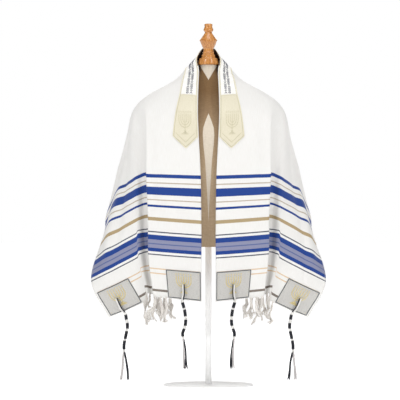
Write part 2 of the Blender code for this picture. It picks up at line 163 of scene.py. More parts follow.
def smooth_line(knots, points, t):
    """Smooth curve through the points, read at every distance in t."""
    knots, points, t = np.asarray(knots, float), np.asarray(points, float), np.atleast_1d(t)
    rise = np.empty_like(points)
    rise[1:-1] = (points[2:] - points[:-2]) / (knots[2:] - knots[:-2])[:, None]
    rise[0] = (points[1] - points[0]) / (knots[1] - knots[0])
    rise[-1] = (points[-1] - points[-2]) / (knots[-1] - knots[-2])
    i = np.clip(np.searchsorted(knots, t, side="right") - 1, 0, len(knots) - 2)
    span = (knots[i + 1] - knots[i])[:, None]
    u = (t - knots[i])[:, None] / span
    return (points[i] * (1 + 2 * u) * (1 - u) ** 2 + points[i + 1] * u * u * (3 - 2 * u)
            + rise[i] * span * u * (1 - u) ** 2 - rise[i + 1] * span * u * u * (1 - u))


def lines_across(along):
    """Where the eight lengthwise lines lie on the flat cloth, one row each."""
    growth = np.clip((along - TUCK_START) / (HALF_LENGTH - TUCK_START), 0.0, 1.0)
    tuck = TUCK_AT_SHOULDER + TUCK_GROWTH * growth
    crease = np.full_like(along, CREASE_ACROSS)
    fold = crease + 2 * tuck + RECESS_AT_SHOULDER + RECESS_GROWTH * growth
    side = fold + SIDE_SHARE * (CLOTH_WIDTH - fold)
    return np.array([np.zeros_like(along), np.full_like(along, SHOULDER_ACROSS), crease, crease + tuck,
                     crease + 2 * tuck, fold, side, np.full_like(along, CLOTH_WIDTH)])


def section_points(along):
    """Where those eight lines lie in the drape at each distance along."""
    knots = [-SECTIONS[1].along * MM] + [row.along * MM for row in SECTIONS]
    placed = []
    for column in ("inner", "shoulder", "crease", "fold", "side", "edge"):
        points = np.array([getattr(row, column) for row in SECTIONS], float) * MM
        points = np.vstack([points[1] * (-1, 1, 1), points])
        placed.append(smooth_line(knots, points, along))
    inner, shoulder, crease, fold, side, edge = placed
    lines = lines_across(along)
    width = lines[5] - lines[2]
    flat_valley = crease + (fold - crease) * ((lines[3] - lines[2]) / width)[:, None]
    flat_recess = crease + (fold - crease) * ((lines[4] - lines[2]) / width)[:, None]
    opened = ease((along - TUCK_START) / TUCK_OPENS_OVER)[:, None]
    tucked = crease + TUCK_DIRECTION * (lines[3] - lines[2])[:, None]
    valley = flat_valley + (tucked - flat_valley) * opened
    recess = flat_recess + (crease + RECESS_SET_BACK - flat_recess) * opened
    return np.array([inner, shoulder, crease, valley, recess, fold, side, edge])


def draped(across, along):
    """The smooth middle surface of the hanging cloth."""
    lines, points = lines_across(along), section_points(along)
    opened = ease((along - TUCK_START / 2) / TUCK_OPENS_OVER)
    slopes = (points[1:] - points[:-1]) / (lines[1:] - lines[:-1])[:, :, None]
    place = points[0] + slopes[0] * (across - lines[0])[:, None]
    for k, soft in enumerate(BEND_IN_FRONT, start=1):
        softness = BEND_ON_BACK + (soft - BEND_ON_BACK) * opened
        place = place + (slopes[k] - slopes[k - 1]) * ramp(across - lines[k], softness)[:, None]
    return place


# %% [markdown]
# ## The form under the cloth
# The dress form is level ovals, wider in front at the chest. The same table that shapes it keeps the
# cloth off it: a point that would sink in is moved straight out.

# %% The form's sizes, and keeping clear of it
FormSection = namedtuple("FormSection", "height half_width front back")
FORM_SECTIONS = (
    FormSection(465, 158, 102, 98),
    FormSection(560, 152, 107, 92),
    FormSection(640, 150, 112, 86),
    FormSection(700, 160, 117, 88),
    FormSection(780, 178, 124, 95),
    FormSection(845, 190, 125, 97),
    FormSection(890, 196, 110, 92),
    FormSection(930, 196, 88, 80),
    FormSection(955, 182, 71, 67),
    FormSection(985, 142, 53, 53),
    FormSection(1010, 90, 41, 42),
    FormSection(1030, 50, 34, 35),
    FormSection(1046, 32, 31, 31),
    FormSection(1068.7, 29, 29, 29),
)
FORM_CLEARANCE = 0.009
form_low, form_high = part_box("dress_form")


def form_size(height):
    """Half width, front depth and back depth of the dress form at each height."""
    knots = [row.height * MM for row in FORM_SECTIONS]
    sizes = np.array([(row.half_width, row.front, row.back) for row in FORM_SECTIONS]) * MM
    return smooth_line(knots, sizes, np.clip(height, knots[0], knots[-1]))


def clear_of_form(points):
    """The same points, with any that would sink into the form moved straight out of it."""
    size = form_size(points[:, 2])
    depth = np.where(points[:, 1] < 0, size[:, 1], size[:, 2])
    reach = np.hypot(points[:, 0] / (size[:, 0] + FORM_CLEARANCE),
                     points[:, 1] / (depth + FORM_CLEARANCE))
    level = (points[:, 2] > form_low.z) & (points[:, 2] < form_high.z)
    push = np.where(level & (reach < 1.0) & (reach > 1e-6), 1 / np.maximum(reach, 1e-6), 1.0)
    return np.column_stack([points[:, 0] * push, points[:, 1] * push, points[:, 2]])


# %% [markdown]
# ## Creases
# Cloth that hangs still keeps soft troughs and ridges. Each row is one of them: a line on the flat
# cloth, how far it stands out (minus for a trough) and how wide it is, in millimetres. They are
# uneven on purpose, as real ones are: long and shallow on the front panels, deeper where the cloth
# falls off the shoulder. Behind the front crease a strip of the cloth is pulled up a little, so that
# the stripes break where it comes out again.

# %% The creases, and a point on the finished cloth
Crease = namedtuple("Crease", "side across along to_across to_along height width")
BOTH, RIGHT, LEFT = 0, 1, -1
CREASES = (
    Crease(BOTH, 60, 430, 50, 925, -1.6, 26),
    Crease(BOTH, 140, 440, 128, 920, 1.8, 22),
    Crease(RIGHT, 158, 300, 168, 640, -2.4, 16),
    Crease(LEFT, 166, 330, 158, 720, -2.8, 14),
    Crease(RIGHT, 30, 470, 24, 800, 1.2, 18),
    Crease(LEFT, 92, 520, 84, 860, -1.5, 16),
    Crease(RIGHT, 96, 330, 150, 470, 1.6, 20),
    Crease(LEFT, 120, 300, 168, 420, 1.8, 18),
    Crease(BOTH, 236, 280, 330, 760, -3.4, 14),
    Crease(BOTH, 272, 430, 404, 1010, 6.0, 13),
    Crease(RIGHT, 300, 270, 470, 780, -3.2, 18),
    Crease(LEFT, 290, 260, 450, 800, -3.6, 16),
    Crease(RIGHT, 350, 330, 510, 800, 5.0, 26),
    Crease(LEFT, 340, 340, 500, 790, 5.2, 26),
    Crease(BOTH, 440, 660, 500, 930, -2.6, 15),
    Crease(LEFT, 270, 470, 366, 1000, -5.0, 11),
    Crease(RIGHT, 268, 450, 362, 1000, -4.6, 11),
    Crease(BOTH, 290, 240, 470, 420, 4.0, 24),
    Crease(RIGHT, 150, 20, 520, 40, -3.2, 26),
    Crease(LEFT, 150, 40, 520, 70, -3.8, 24),
    Crease(BOTH, 180, 80, 545, 125, 4.2, 24),
    Crease(BOTH, 210, 130, 550, 185, -4.0, 22),
    Crease(LEFT, 110, 30, 240, 110, 2.0, 22),
    Crease(BOTH, 40, 110, 120, 180, -1.4, 14),
)
CREASE_FADE = 0.22
Pull = namedtuple("Pull", "start over height")
RECESS_PULLS = (Pull(0.655, 0.070, 0.010), Pull(0.800, 0.110, 0.016))
SLIDE_EDGE = 0.009
UNEVENNESS = 0.0008
UNEVEN_SCALE = 0.085
SLOPE_STEP = 0.002


def crease_height(across, along, side):
    """How far the creases lift each point of the cloth."""
    total = np.zeros_like(across)
    for row in CREASES:
        start = np.array((row.across, row.along)) * MM
        run = np.array((row.to_across, row.to_along)) * MM - start
        offset = np.stack([across, along], axis=1) - start
        share = (offset @ run) / (run @ run)
        from_line = np.abs(offset[:, 0] * run[1] - offset[:, 1] * run[0]) / np.linalg.norm(run)
        fade = ease(share / CREASE_FADE) * ease((1 - share) / CREASE_FADE)
        here = (side == row.side) | (row.side == BOTH)
        total += row.height * MM * fade * np.exp(-(from_line / (row.width * MM)) ** 2) * here
    return total


def arm_ripple(across, along):
    """The large soft folds behind the arm: none at the shoulder's tip, most at the outer edge."""
    out, down = across - CREASE_ACROSS, along - TUCK_START
    share = (np.arctan2(out, down) - RIPPLE_FROM) / (RIPPLE_TO - RIPPLE_FROM)
    inside = (share > 0) & (share < 1) & (out > 0)
    fade = ease(share / RIPPLE_FADE) * ease((1 - share) / RIPPLE_FADE)
    wave = RIPPLE_SLOPE * np.hypot(out, down) * fade * np.sin(math.tau * RIPPLE_COUNT * share)
    return np.where(inside, wave, 0.0)


def uneven(across, signed_along):
    """Slow unevenness of hand-hung cloth, the same each time."""
    places = zip(across / UNEVEN_SCALE, signed_along / UNEVEN_SCALE)
    return np.array([noise.noise((a, s, 0.0)) for a, s in places]) * UNEVENNESS


def recess_slide(across, along):
    """How far the strip beside the fold is pulled up: nothing at the crease, most at the fold."""
    lines = lines_across(along)
    recess, fold = lines[4], lines[5]
    amount = sum(pull.height * ease((along - pull.start) / pull.over) for pull in RECESS_PULLS)
    inside = ease((fold - across) / SLIDE_EDGE) * np.clip((across - recess) / (fold - recess), 0, 1)
    return amount * inside


def on_cloth(across, signed_along, lift=0.0):
    """Points of the hanging cloth, moved out by lift. A minus distance along is on the -X half."""
    across = np.atleast_1d(np.asarray(across, float))
    signed_along = np.atleast_1d(np.asarray(signed_along, float))
    side, along = np.where(signed_along < 0, LEFT, RIGHT), np.abs(signed_along)
    along = along - recess_slide(across, along)
    low, high = np.maximum(along - SLOPE_STEP, 0.0), np.minimum(along + SLOPE_STEP, HALF_LENGTH)
    left, right = np.maximum(across - SLOPE_STEP, 0.0), np.minimum(across + SLOPE_STEP, CLOTH_WIDTH)
    normal = np.cross(draped(across, high) - draped(across, low),
                      draped(right, along) - draped(left, along))
    normal /= np.linalg.norm(normal, axis=1)[:, None]
    stand = arm_ripple(across, along) + crease_height(across, along, side) + uneven(across, signed_along)
    place = clear_of_form(draped(across, along) + normal * stand[:, None])
    place += normal * np.broadcast_to(lift, across.shape)[:, None]
    place[:, 0] *= side
    return place


print("centre back neck at", on_cloth(0, 0)[0].round(3))

# %% [markdown]
# ## Small helpers for meshes
# A sheet of cloth is a grid of points, so one function turns any grid into a mesh with a UV map. The
# map holds the real distances on the flat cloth, in metres: a woven stripe can then be drawn at its
# own distance from the hem, whatever the cloth does in space.

# %% Mesh helpers
def link(piece):
    bpy.context.scene.collection.objects.link(piece)
    return piece


def mesh_object(name, points, faces, materials, uv=None, face_slots=None, sharp=None):
    mesh = bpy.data.meshes.new(name)
    mesh.from_pydata([tuple(p) for p in points], [], faces)
    for material in materials:
        mesh.materials.append(material)
    if uv is not None:
        layer = mesh.uv_layers.new(name="cloth")
        corners = np.empty(len(mesh.loops), int)
        mesh.loops.foreach_get("vertex_index", corners)
        layer.data.foreach_set("uv", np.asarray(uv, np.float32)[corners].ravel())
    if face_slots is not None:
        mesh.polygons.foreach_set("material_index", np.asarray(face_slots, np.int32))
    mesh.shade_smooth()
    if sharp:
        mesh.set_sharp_from_angle(angle=math.radians(sharp))
    mesh.update()
    return link(bpy.data.objects.new(name, mesh))


def grid_faces(rows, columns, start=0, closed=False):
    """Quads of a grid of points, row after row; closed joins the last column to the first."""
    faces = []
    for r in range(rows - 1):
        for c in range(columns if closed else columns - 1):
            n = (c + 1) % columns
            faces.append((start + r * columns + c, start + (r + 1) * columns + c,
                          start + (r + 1) * columns + n, start + r * columns + n))
    return faces


def capped_faces(rings, sides, start=0):
    """Faces of a round solid, its rings counted upwards, with both ends closed."""
    faces = [face[::-1] for face in grid_faces(rings, sides, start, closed=True)]
    last = start + (rings - 1) * sides
    return faces + [tuple(reversed(range(start, start + sides))), tuple(range(last, last + sides))]


def spread(start, end, count):
    return np.linspace(start, end, count + 1)


def steps_through(stops, counts):
    """Even steps through several stretches, each with its own count."""
    runs = [spread(a, b, n)[1:] for a, b, n in zip(stops, stops[1:], counts)]
    return np.concatenate([[stops[0]], *runs])


# %% [markdown]
# ## Helpers for materials
# Colours are written as screen hex values, and one function turns them to the linear numbers that a
# shader needs. One more adds a node with its settings and its links, and hands back the output that
# the next node needs, so that a material below reads from its pattern to its shader.

# %% Material helpers
def linear(hex_colour):
    """A screen colour such as "#1D3A8A" as linear red, green, blue and alpha."""
    channels = [int(hex_colour[i:i + 2], 16) / 255 for i in (1, 3, 5)]
    return tuple(c / 12.92 if c <= 0.04045 else ((c + 0.055) / 1.055) ** 2.4 for c in channels) + (1.0,)


def add(tree, kind, inputs=(), take=0, stops=(), **settings):
    """Adds a node and returns the output to take, or the node itself when that is None.

    Inputs are values or other nodes' outputs, in socket order or by socket. Stops are the
    (position, hex colour) pairs of a ramp.
    """
    node = tree.nodes.new(kind)
    for name, value in settings.items():
        setattr(node, name, value)
    for socket, value in inputs.items() if isinstance(inputs, dict) else enumerate(inputs):
        if isinstance(value, bpy.types.NodeSocket):
            tree.links.new(value, node.inputs[socket])
        else:
            node.inputs[socket].default_value = value
    if stops:
        elements = node.color_ramp.elements
        elements.remove(elements[1])
        elements[0].position, elements[0].color = stops[0][0], linear(stops[0][1])
        for position, colour in stops[1:]:
            elements.new(position).color = linear(colour)
    return node if take is None else node.outputs[take]


def new_material(name, **surface):
    """A named material with its shader's constant values set; returns it with its tree and shader."""
    material = bpy.data.materials.new(name)
    material.use_nodes = True
    tree = material.node_tree
    shader = tree.nodes["Principled BSDF"]
    for socket, value in surface.items():
        shader.inputs[socket.replace("_", " ")].default_value = value
    return material, tree, shader


def colour_and_relief(tree, shader, colour, height, strength, distance):
    """Links a colour to the shader, and a pattern's height to its normal."""
    relief = add(tree, "ShaderNodeBump", {"Height": height, "Strength": strength, "Distance": distance})
    tree.links.new(colour, shader.inputs["Base Color"])
    tree.links.new(relief, shader.inputs["Normal"])


def flat_place(tree):
    """A point's place on its own flat piece of cloth, in metres: whole, then across, then along."""
    whole = add(tree, "ShaderNodeUVMap", uv_map="cloth")
    parts = add(tree, "ShaderNodeSeparateXYZ", (whole,), take=None).outputs
    return whole, parts["X"], parts["Y"]


def ribs(tree, distance, spacing):
    """A rounded ridge at every spacing of a distance, from -1 to 1."""
    turned = add(tree, "ShaderNodeMath", (distance, math.tau / spacing), operation="MULTIPLY")
    return add(tree, "ShaderNodeMath", (turned,), operation="SINE")


def weave_height(tree, across, along, spacing):
    """Over-and-under threads of a plain weave, as a height."""
    threads = (ribs(tree, across, spacing), ribs(tree, along, spacing))
    return add(tree, "ShaderNodeMath", threads, operation="MULTIPLY")


# %% [markdown]
# ## Woven white cloth with its stripes
# The shawl is a fine plain weave in an off-white wool blend: matt, with a faint sheen where the nap
# catches light. The stripes are woven in, so their edges are crisp and run exactly across the cloth.
# Separate strips of mesh could show them, but a colour that depends on the distance along the flat
# cloth follows every fold by itself. Each row of the table is a stripe, in metres from the centre
# back. A ramp holds at most 32 steps, so the stripes above and below one plain gap have one each.

# %% Woven cloth
Stripe = namedtuple("Stripe", "start end colour")
WHITE = "#E7E6E4"
BLUE, GOLD, LILAC = "#20408A", "#AC9874", "#888BA6"
THIN_TAN, THIN_DARK, THIN_BLUE, PEACH, BROWN = "#B9AC9C", "#4E5361", "#5D6A97", "#D8BE9E", "#7C736B"
# Painted shade: the dark brown inside the collar, drawn as a tape on the cloth.
PAINTED_NECK_SHADE = "#3C1F0B"
STRIPES = (
    Stripe(0.5128, 0.5260, BLUE),
    Stripe(0.5362, 0.5385, THIN_TAN),
    Stripe(0.5418, 0.5454, THIN_TAN),
    Stripe(0.5583, 0.5824, BLUE),
    Stripe(0.5900, 0.5923, THIN_TAN),
    Stripe(0.5986, 0.6030, THIN_TAN),
    Stripe(0.6177, 0.6289, BLUE),
    Stripe(0.6609, 0.6745, GOLD),
    Stripe(0.7098, 0.7137, THIN_DARK),
    Stripe(0.7203, 0.7352, BLUE),
    Stripe(0.7352, 0.7474, LILAC),
    Stripe(0.7474, 0.7517, THIN_BLUE),
    Stripe(0.7517, 0.7632, LILAC),
    Stripe(0.7632, 0.7771, BLUE),
    Stripe(0.7834, 0.7880, THIN_DARK),
    Stripe(0.8320, 0.8348, PEACH),
    Stripe(0.8465, 0.8493, PEACH),
    Stripe(0.9016, 0.9068, BROWN),
)
STRIPE_SPLIT = 0.690
# Real threads lie about 0.4 mm apart; they are drawn as coarse as it takes to be seen.
THREAD_SPACING = 0.0012
# Thick places in the yarn, about 4.5 mm apart, and how far they push a stripe's edge.
SLUBS_A_METRE = 220.0
STRIPE_WANDER = 0.0009
# Streaks of uneven dye, about 1 mm wide and 25 mm long.
DYE_STREAKS_A_METRE = (900.0, 40.0, 1.0)
SELVEDGE_FROM = 0.810
NECK_SELVEDGE = 0.004
OUTER_SELVEDGE = OUTER_PATCH_INSET + 0.002
NECK_SHADE_RUN = 0.120
NECK_SHADE_WIDTH = 0.046


def stripe_stops(low, high):
    """Ramp steps of the stripes that start between two distances along, with white between them."""
    stops = [(0.0, WHITE)]
    for stripe in STRIPES:
        if low < stripe.start < high:
            if abs(stops[-1][0] - stripe.start) < 1e-6:
                stops.pop()
            stops += [(stripe.start, stripe.colour), (stripe.end, WHITE)]
    return stops


def make_shawl_material():
    """Woven wool blend with its stripes, plain selvedges and painted dark shade inside the neck."""
    material, tree, shader = new_material("plain_woven_wool_blend", Roughness=0.86, Sheen_Weight=0.18,
                                          Sheen_Roughness=0.45, Specular_IOR_Level=0.25)
    place, across, straight = flat_place(tree)
    slub = add(tree, "ShaderNodeTexNoise", {"Vector": place, "Scale": SLUBS_A_METRE, "Detail": 2.0})
    centred = add(tree, "ShaderNodeMath", (slub, 0.5), operation="SUBTRACT")
    wander = add(tree, "ShaderNodeMath", (centred, STRIPE_WANDER), operation="MULTIPLY")
    along = add(tree, "ShaderNodeMath", (straight, wander), operation="ADD")
    upper = add(tree, "ShaderNodeValToRGB", (along,), stops=stripe_stops(0.0, STRIPE_SPLIT))
    lower = add(tree, "ShaderNodeValToRGB", (along,), stops=stripe_stops(STRIPE_SPLIT, 1.0))
    for stripes in (upper, lower):
        stripes.node.color_ramp.interpolation = "CONSTANT"
    below = add(tree, "ShaderNodeMath", (along, STRIPE_SPLIT), operation="GREATER_THAN")
    woven = add(tree, "ShaderNodeMix", {0: below, 6: upper, 7: lower}, take=2, data_type="RGBA")
    # The three lowest stripes stop at a plain selvedge on both long edges.
    past_neck = add(tree, "ShaderNodeMath", (across, NECK_SELVEDGE), operation="GREATER_THAN")
    short_of_edge = add(tree, "ShaderNodeMath", (across, CLOTH_WIDTH - OUTER_SELVEDGE), operation="LESS_THAN")
    body = add(tree, "ShaderNodeMath", (past_neck, short_of_edge), operation="MULTIPLY")
    selvedge = add(tree, "ShaderNodeMath", (1.0, body), operation="SUBTRACT")
    near_hem = add(tree, "ShaderNodeMath", (along, SELVEDGE_FROM), operation="GREATER_THAN")
    plain = add(tree, "ShaderNodeMath", (near_hem, selvedge), operation="MULTIPLY")
    woven = add(tree, "ShaderNodeMix", {0: plain, 6: woven, 7: linear(WHITE)}, take=2, data_type="RGBA")
    # Painted shade: a dark brown tape on the cloth at the neck stands for the deep shade inside the collar;
    # the embroidered band covers it from outside.
    near_neck = add(tree, "ShaderNodeMath", (straight, NECK_SHADE_RUN), operation="LESS_THAN")
    on_edge = add(tree, "ShaderNodeMath", (across, NECK_SHADE_WIDTH), operation="LESS_THAN")
    in_neck_shade = add(tree, "ShaderNodeMath", (near_neck, on_edge), operation="MULTIPLY")
    woven = add(tree, "ShaderNodeMix", {0: in_neck_shade, 6: woven, 7: linear(PAINTED_NECK_SHADE)}, take=2, data_type="RGBA")
    # Yarn takes dye a little unevenly, which keeps the white from looking like paper.
    stretched = add(tree, "ShaderNodeMapping", {"Vector": place, "Scale": DYE_STREAKS_A_METRE})
    streaks = add(tree, "ShaderNodeTexNoise", {"Vector": stretched, "Scale": 1.0})
    tint = add(tree, "ShaderNodeValToRGB", (streaks,), stops=((0.25, "#F8F7F5"), (0.75, "#FFFFFF")))
    dyed = add(tree, "ShaderNodeMix", {0: 1.0, 6: woven, 7: tint}, take=2, data_type="RGBA",
               blend_type="MULTIPLY")
    weave = weave_height(tree, across, straight, THREAD_SPACING)
    height = add(tree, "ShaderNodeMath", (slub, 2.0, weave), operation="MULTIPLY_ADD")
    colour_and_relief(tree, shader, dyed, height, 0.35, 0.00025)
    return material


woven_cloth = make_shawl_material()
print("stripes on each half:", len(STRIPES))

# %% [markdown]
# ## The other textiles
# Cotton, satin, yarn and cord differ mostly in how they take light: cotton is matt, satin has a soft
# sideways gloss from its long floating threads, and yarn is broken up by its twist. Each function
# below gives one of them its colour, gloss and thread. Real threads are finer than a view of the
# whole garment can show, so each pitch here is about twice the real one or more.

# %% Cotton, satin, thread, yarn and linen
EMBROIDERY_PITCH = 0.0011
CORD_PITCH = 0.002
FRINGE_PITCH = 0.003
COTTON_SPACING = 0.0010
# Broken floats of satin, about 6 mm across and 1 mm along.
SATIN_FLECKS_A_METRE = (160.0, 900.0, 1.0)


def thread_material(name, colour, dark, roughness=0.5, pitch=EMBROIDERY_PITCH, sheen=0.1):
    """Embroidery or cord thread: fine diagonal ridges of its twist, with painted shade in the grooves between
    them.
    """
    material, tree, shader = new_material(name, Roughness=roughness, Sheen_Weight=sheen,
                                          Specular_IOR_Level=0.35)
    _, across, along = flat_place(tree)
    slant = add(tree, "ShaderNodeMath", (along, 0.8, across), operation="MULTIPLY_ADD")
    ridge = ribs(tree, slant, pitch)
    # Painted shade: the colour falls to the dark tone in the grooves between the ridges.
    shade = add(tree, "ShaderNodeMath", (ridge, 0.5, 0.5), operation="MULTIPLY_ADD")
    base = add(tree, "ShaderNodeValToRGB", (shade,), stops=((0.0, dark), (0.6, colour)))
    colour_and_relief(tree, shader, base, ridge, 0.5, 0.0003)
    return material


def satin_material(name, colour, shade, line_spacing):
    """Satin: smooth floats with a soft gloss, and a faint rib across it."""
    material, tree, shader = new_material(name, Roughness=0.42, Sheen_Weight=0.25, Anisotropic=0.4,
                                          Specular_IOR_Level=0.45)
    place, _, along = flat_place(tree)
    stretched = add(tree, "ShaderNodeMapping", {"Vector": place, "Scale": SATIN_FLECKS_A_METRE})
    flecks = add(tree, "ShaderNodeTexNoise", {"Vector": stretched, "Scale": 1.0, "Detail": 3.0})
    floats = add(tree, "ShaderNodeMath", (ribs(tree, along, line_spacing), 0.12, flecks),
                 operation="MULTIPLY_ADD")
    base = add(tree, "ShaderNodeValToRGB", (floats,), stops=((0.32, shade), (0.62, colour)))
    colour_and_relief(tree, shader, base, floats, 0.4, 0.0004)
    return material


def cotton_material():
    """Cotton percale: a close, matt weave, a little cloudy from washing."""
    material, tree, shader = new_material("cotton_percale", Roughness=0.82, Sheen_Weight=0.12,
                                          Specular_IOR_Level=0.25)
    place, across, along = flat_place(tree)
    cloud = add(tree, "ShaderNodeTexNoise", {"Vector": place, "Scale": 60.0, "Detail": 4.0})
    base = add(tree, "ShaderNodeValToRGB", (cloud,), stops=((0.3, "#EFEDE8"), (0.7, "#F8F7F4")))
    colour_and_relief(tree, shader, base, weave_height(tree, across, along, COTTON_SPACING), 0.4, 0.0002)
    return material


# Painted light and shade on the form's front: cream in a long lozenge with a V above it, where light falls
# between the shadows of the shawl's two front edges, and tan painted shade round it.
LitStripPoint = namedtuple("LitStripPoint", "height half_width")
LIT_STRIP_SHAPE = (
    LitStripPoint(465, 0), LitStripPoint(548, 0), LitStripPoint(600, 2.5), LitStripPoint(650, 5),
    LitStripPoint(700, 8), LitStripPoint(752, 11.5), LitStripPoint(800, 17), LitStripPoint(835, 19),
    LitStripPoint(858, 17), LitStripPoint(885, 8), LitStripPoint(905, 0), LitStripPoint(1018, 0), LitStripPoint(1069, 30),
)
LIT_STRIP_WIDEST = 0.030
# The painted shade on the linen is darkest at the neck and palest at the waist, between these heights.
SHADE_DARKEST_AT, SHADE_PALEST_AT = 0.98, 0.72
# Thick and thin yarns of the linen, about 0.7 mm wide; each runs on for 11 or 17 mm.
WEFT_A_METRE = (90.0, 90.0, 1400.0)
WARP_A_METRE = (1400.0, 1400.0, 60.0)


def lit_strip_share(tree, place):
    """One inside the painted lit strip on the form's front: a long lozenge with a V above it."""
    parts = add(tree, "ShaderNodeSeparateXYZ", (place,), take=None).outputs
    first, last = LIT_STRIP_SHAPE[0].height * MM, LIT_STRIP_SHAPE[-1].height * MM
    level = add(tree, "ShaderNodeMapRange", {"Value": parts["Z"], "From Min": first, "From Max": last})
    width = add(tree, "ShaderNodeFloatCurve", {"Value": level})
    mapping = width.node.mapping
    curve = mapping.curves[0]
    curve.points[0].location, curve.points[1].location = (0.0, 0.0), (1.0, 1.0)
    for row in LIT_STRIP_SHAPE[1:-1]:
        curve.points.new((row.height * MM - first) / (last - first), row.half_width * MM / LIT_STRIP_WIDEST)
    for point in curve.points:
        point.handle_type = "VECTOR"
    mapping.update()
    reach = add(tree, "ShaderNodeMath", (width, LIT_STRIP_WIDEST), operation="MULTIPLY")
    from_middle = add(tree, "ShaderNodeMath", (parts["X"],), operation="ABSOLUTE")
    within = add(tree, "ShaderNodeMath", (from_middle, reach), operation="LESS_THAN")
    in_front = add(tree, "ShaderNodeMath", (parts["Y"], 0.0), operation="LESS_THAN")
    return add(tree, "ShaderNodeMath", (within, in_front), operation="MULTIPLY")


def linen_material():
    """Stretched linen: a coarse, matt plain weave with thick and thin yarns, painted tan for shade and cream
    where light falls between the shawl's edges.
    """
    material, tree, shader = new_material("stretched_linen", Roughness=0.84, Sheen_Weight=0.1,
                                          Specular_IOR_Level=0.25)
    place = add(tree, "ShaderNodeTexCoord", take="Object")
    threads = []
    for scale in (WEFT_A_METRE, WARP_A_METRE):
        stretched = add(tree, "ShaderNodeMapping", {"Vector": place, "Scale": scale})
        threads.append(add(tree, "ShaderNodeTexNoise", {"Vector": stretched, "Scale": 1.0}))
    yarns = add(tree, "ShaderNodeMath", threads, operation="MULTIPLY")
    # Painted shade in two tans, and the cream of the painted lit strip.
    dark_painted_shade, pale_painted_shade, cream = [
        add(tree, "ShaderNodeValToRGB", (yarns,), stops=((0.12, low), (0.40, high)))
        for low, high in (("#6F5436", "#856744"), ("#AE9678", "#C6AE90"), ("#CFC3B1", "#DFD4C4"))]
    height = add(tree, "ShaderNodeSeparateXYZ", (place,), take="Z")
    # Painted shade, darker towards the neck and paler towards the waist.
    shade_by_height = add(tree, "ShaderNodeMapRange", {"Value": height, "From Min": SHADE_DARKEST_AT, "From Max": SHADE_PALEST_AT})
    painted_shade = add(tree, "ShaderNodeMix", {0: shade_by_height, 6: dark_painted_shade, 7: pale_painted_shade}, take=2, data_type="RGBA")
    base = add(tree, "ShaderNodeMix", {0: lit_strip_share(tree, place), 6: painted_shade, 7: cream}, take=2,
               data_type="RGBA")
    colour_and_relief(tree, shader, base, yarns, 0.6, 0.0006)
    return material


cotton = cotton_material()
cream_satin = satin_material("cream_satin", "#DDD7C2", "#D2CAB0", 0.0032)
silver_satin = satin_material("silver_brocade_satin", "#C5C3BF", "#ABA9A5", 0.0036)
navy_thread = thread_material("navy_embroidery_thread", "#2B3352", "#171D36")
olive_thread = thread_material("olive_embroidery_thread", "#CFC8A8", "#ABA37F")
gold_thread = thread_material("gold_embroidery_thread", "#E0D199", "#B9A25F", 0.38, sheen=0.2)
teal_thread = thread_material("teal_border_thread", "#4A5157", "#343B41")
seam_thread = thread_material("cotton_sewing_thread", "#DAD7CC", "#DAD7CC", 0.6)
cream_piping = thread_material("cream_piping_cord", "#EFE9D4", "#D9D1B4", 0.5, CORD_PITCH)
fringe_yarn = thread_material("twisted_wool_yarn", "#E9E5E0", "#CBC5BE", 0.85, FRINGE_PITCH, 0.3)
white_cord = thread_material("white_wool_cord", "#EEECE8", "#C8C6C4", 0.8, CORD_PITCH, 0.25)
# Painted shade: the loose white ends are the white wool painted grey for the shade they hang in.
shaded_white_ends = thread_material("untwisted_wool_ends", "#CFCBCA", "#A19D9E", 0.85, CORD_PITCH, 0.25)
black_cord = thread_material("dyed_wool_cord", "#1A1D2A", "#0B0D14", 0.75, CORD_PITCH, 0.15)
linen = linen_material()

# %% [markdown]
# ## Lacquered beech and white powder coat
# The neck cap is turned on a lathe: its grain runs up the axis, so the wood shows as streaks along Z,
# and the tool leaves faint rings round it. Both patterns are made in space, as if the piece were cut
# from one block. Satin lacquer gives it a clear, soft gloss. The stand is steel with a powder coat,
# a plain white with the fine orange-peel of baked paint.

# %% Wood and paint
# Grain about 2.4 mm wide and 45 mm long, tool rings 1.2 mm apart, and peel of about 1.4 mm.
GRAIN_A_METRE = (420.0, 420.0, 22.0)
TOOL_RINGS_A_METRE = 260.0
PEEL_A_METRE = 700.0


def wood_material():
    """Lacquered beech: warm, streaked, and glossier on top than the wood itself."""
    material, tree, shader = new_material("lacquered_beech", Roughness=0.34, Coat_Weight=0.35,
                                          Coat_Roughness=0.18)
    place = add(tree, "ShaderNodeTexCoord", take="Object")
    grain = add(tree, "ShaderNodeMapping", {"Vector": place, "Scale": GRAIN_A_METRE})
    streak = add(tree, "ShaderNodeTexNoise", {"Vector": grain, "Scale": 1.0, "Detail": 5.0,
                                              "Distortion": 0.6})
    base = add(tree, "ShaderNodeValToRGB", (streak,),
               stops=((0.30, "#8E5420"), (0.50, "#BC7B38"), (0.72, "#DFA660")))
    rings = add(tree, "ShaderNodeTexWave", {"Vector": place, "Scale": TOOL_RINGS_A_METRE, "Distortion": 0.4},
                take="Fac", bands_direction="Z")
    colour_and_relief(tree, shader, base, rings, 0.12, 0.0002)
    return material


def paint_material():
    """Powder coat on steel: an even white with a soft, slightly pebbled shine."""
    material, tree, shader = new_material("white_powder_coat", Roughness=0.45)
    place = add(tree, "ShaderNodeTexCoord", take="Object")
    peel = add(tree, "ShaderNodeTexNoise", {"Vector": place, "Scale": PEEL_A_METRE, "Detail": 2.0})
    base = add(tree, "ShaderNodeValToRGB", (peel,), stops=((0.3, "#F4F4F3"), (0.7, "#FAFAFA")))
    colour_and_relief(tree, shader, base, peel, 0.15, 0.0002)
    return material


beech = wood_material()
powder_coat = paint_material()
print("materials:", len(bpy.data.materials))

# %% [markdown]
# ## The shawl
# Both halves are one grid, from the hem of one end over the back of the neck to the other hem, as the
# real cloth is one piece. The grid is finer where the cloth turns sharply: at the neck and in the
# tuck behind the front crease. A modifier gives it a wall, because cloth shows its thickness at a hem.

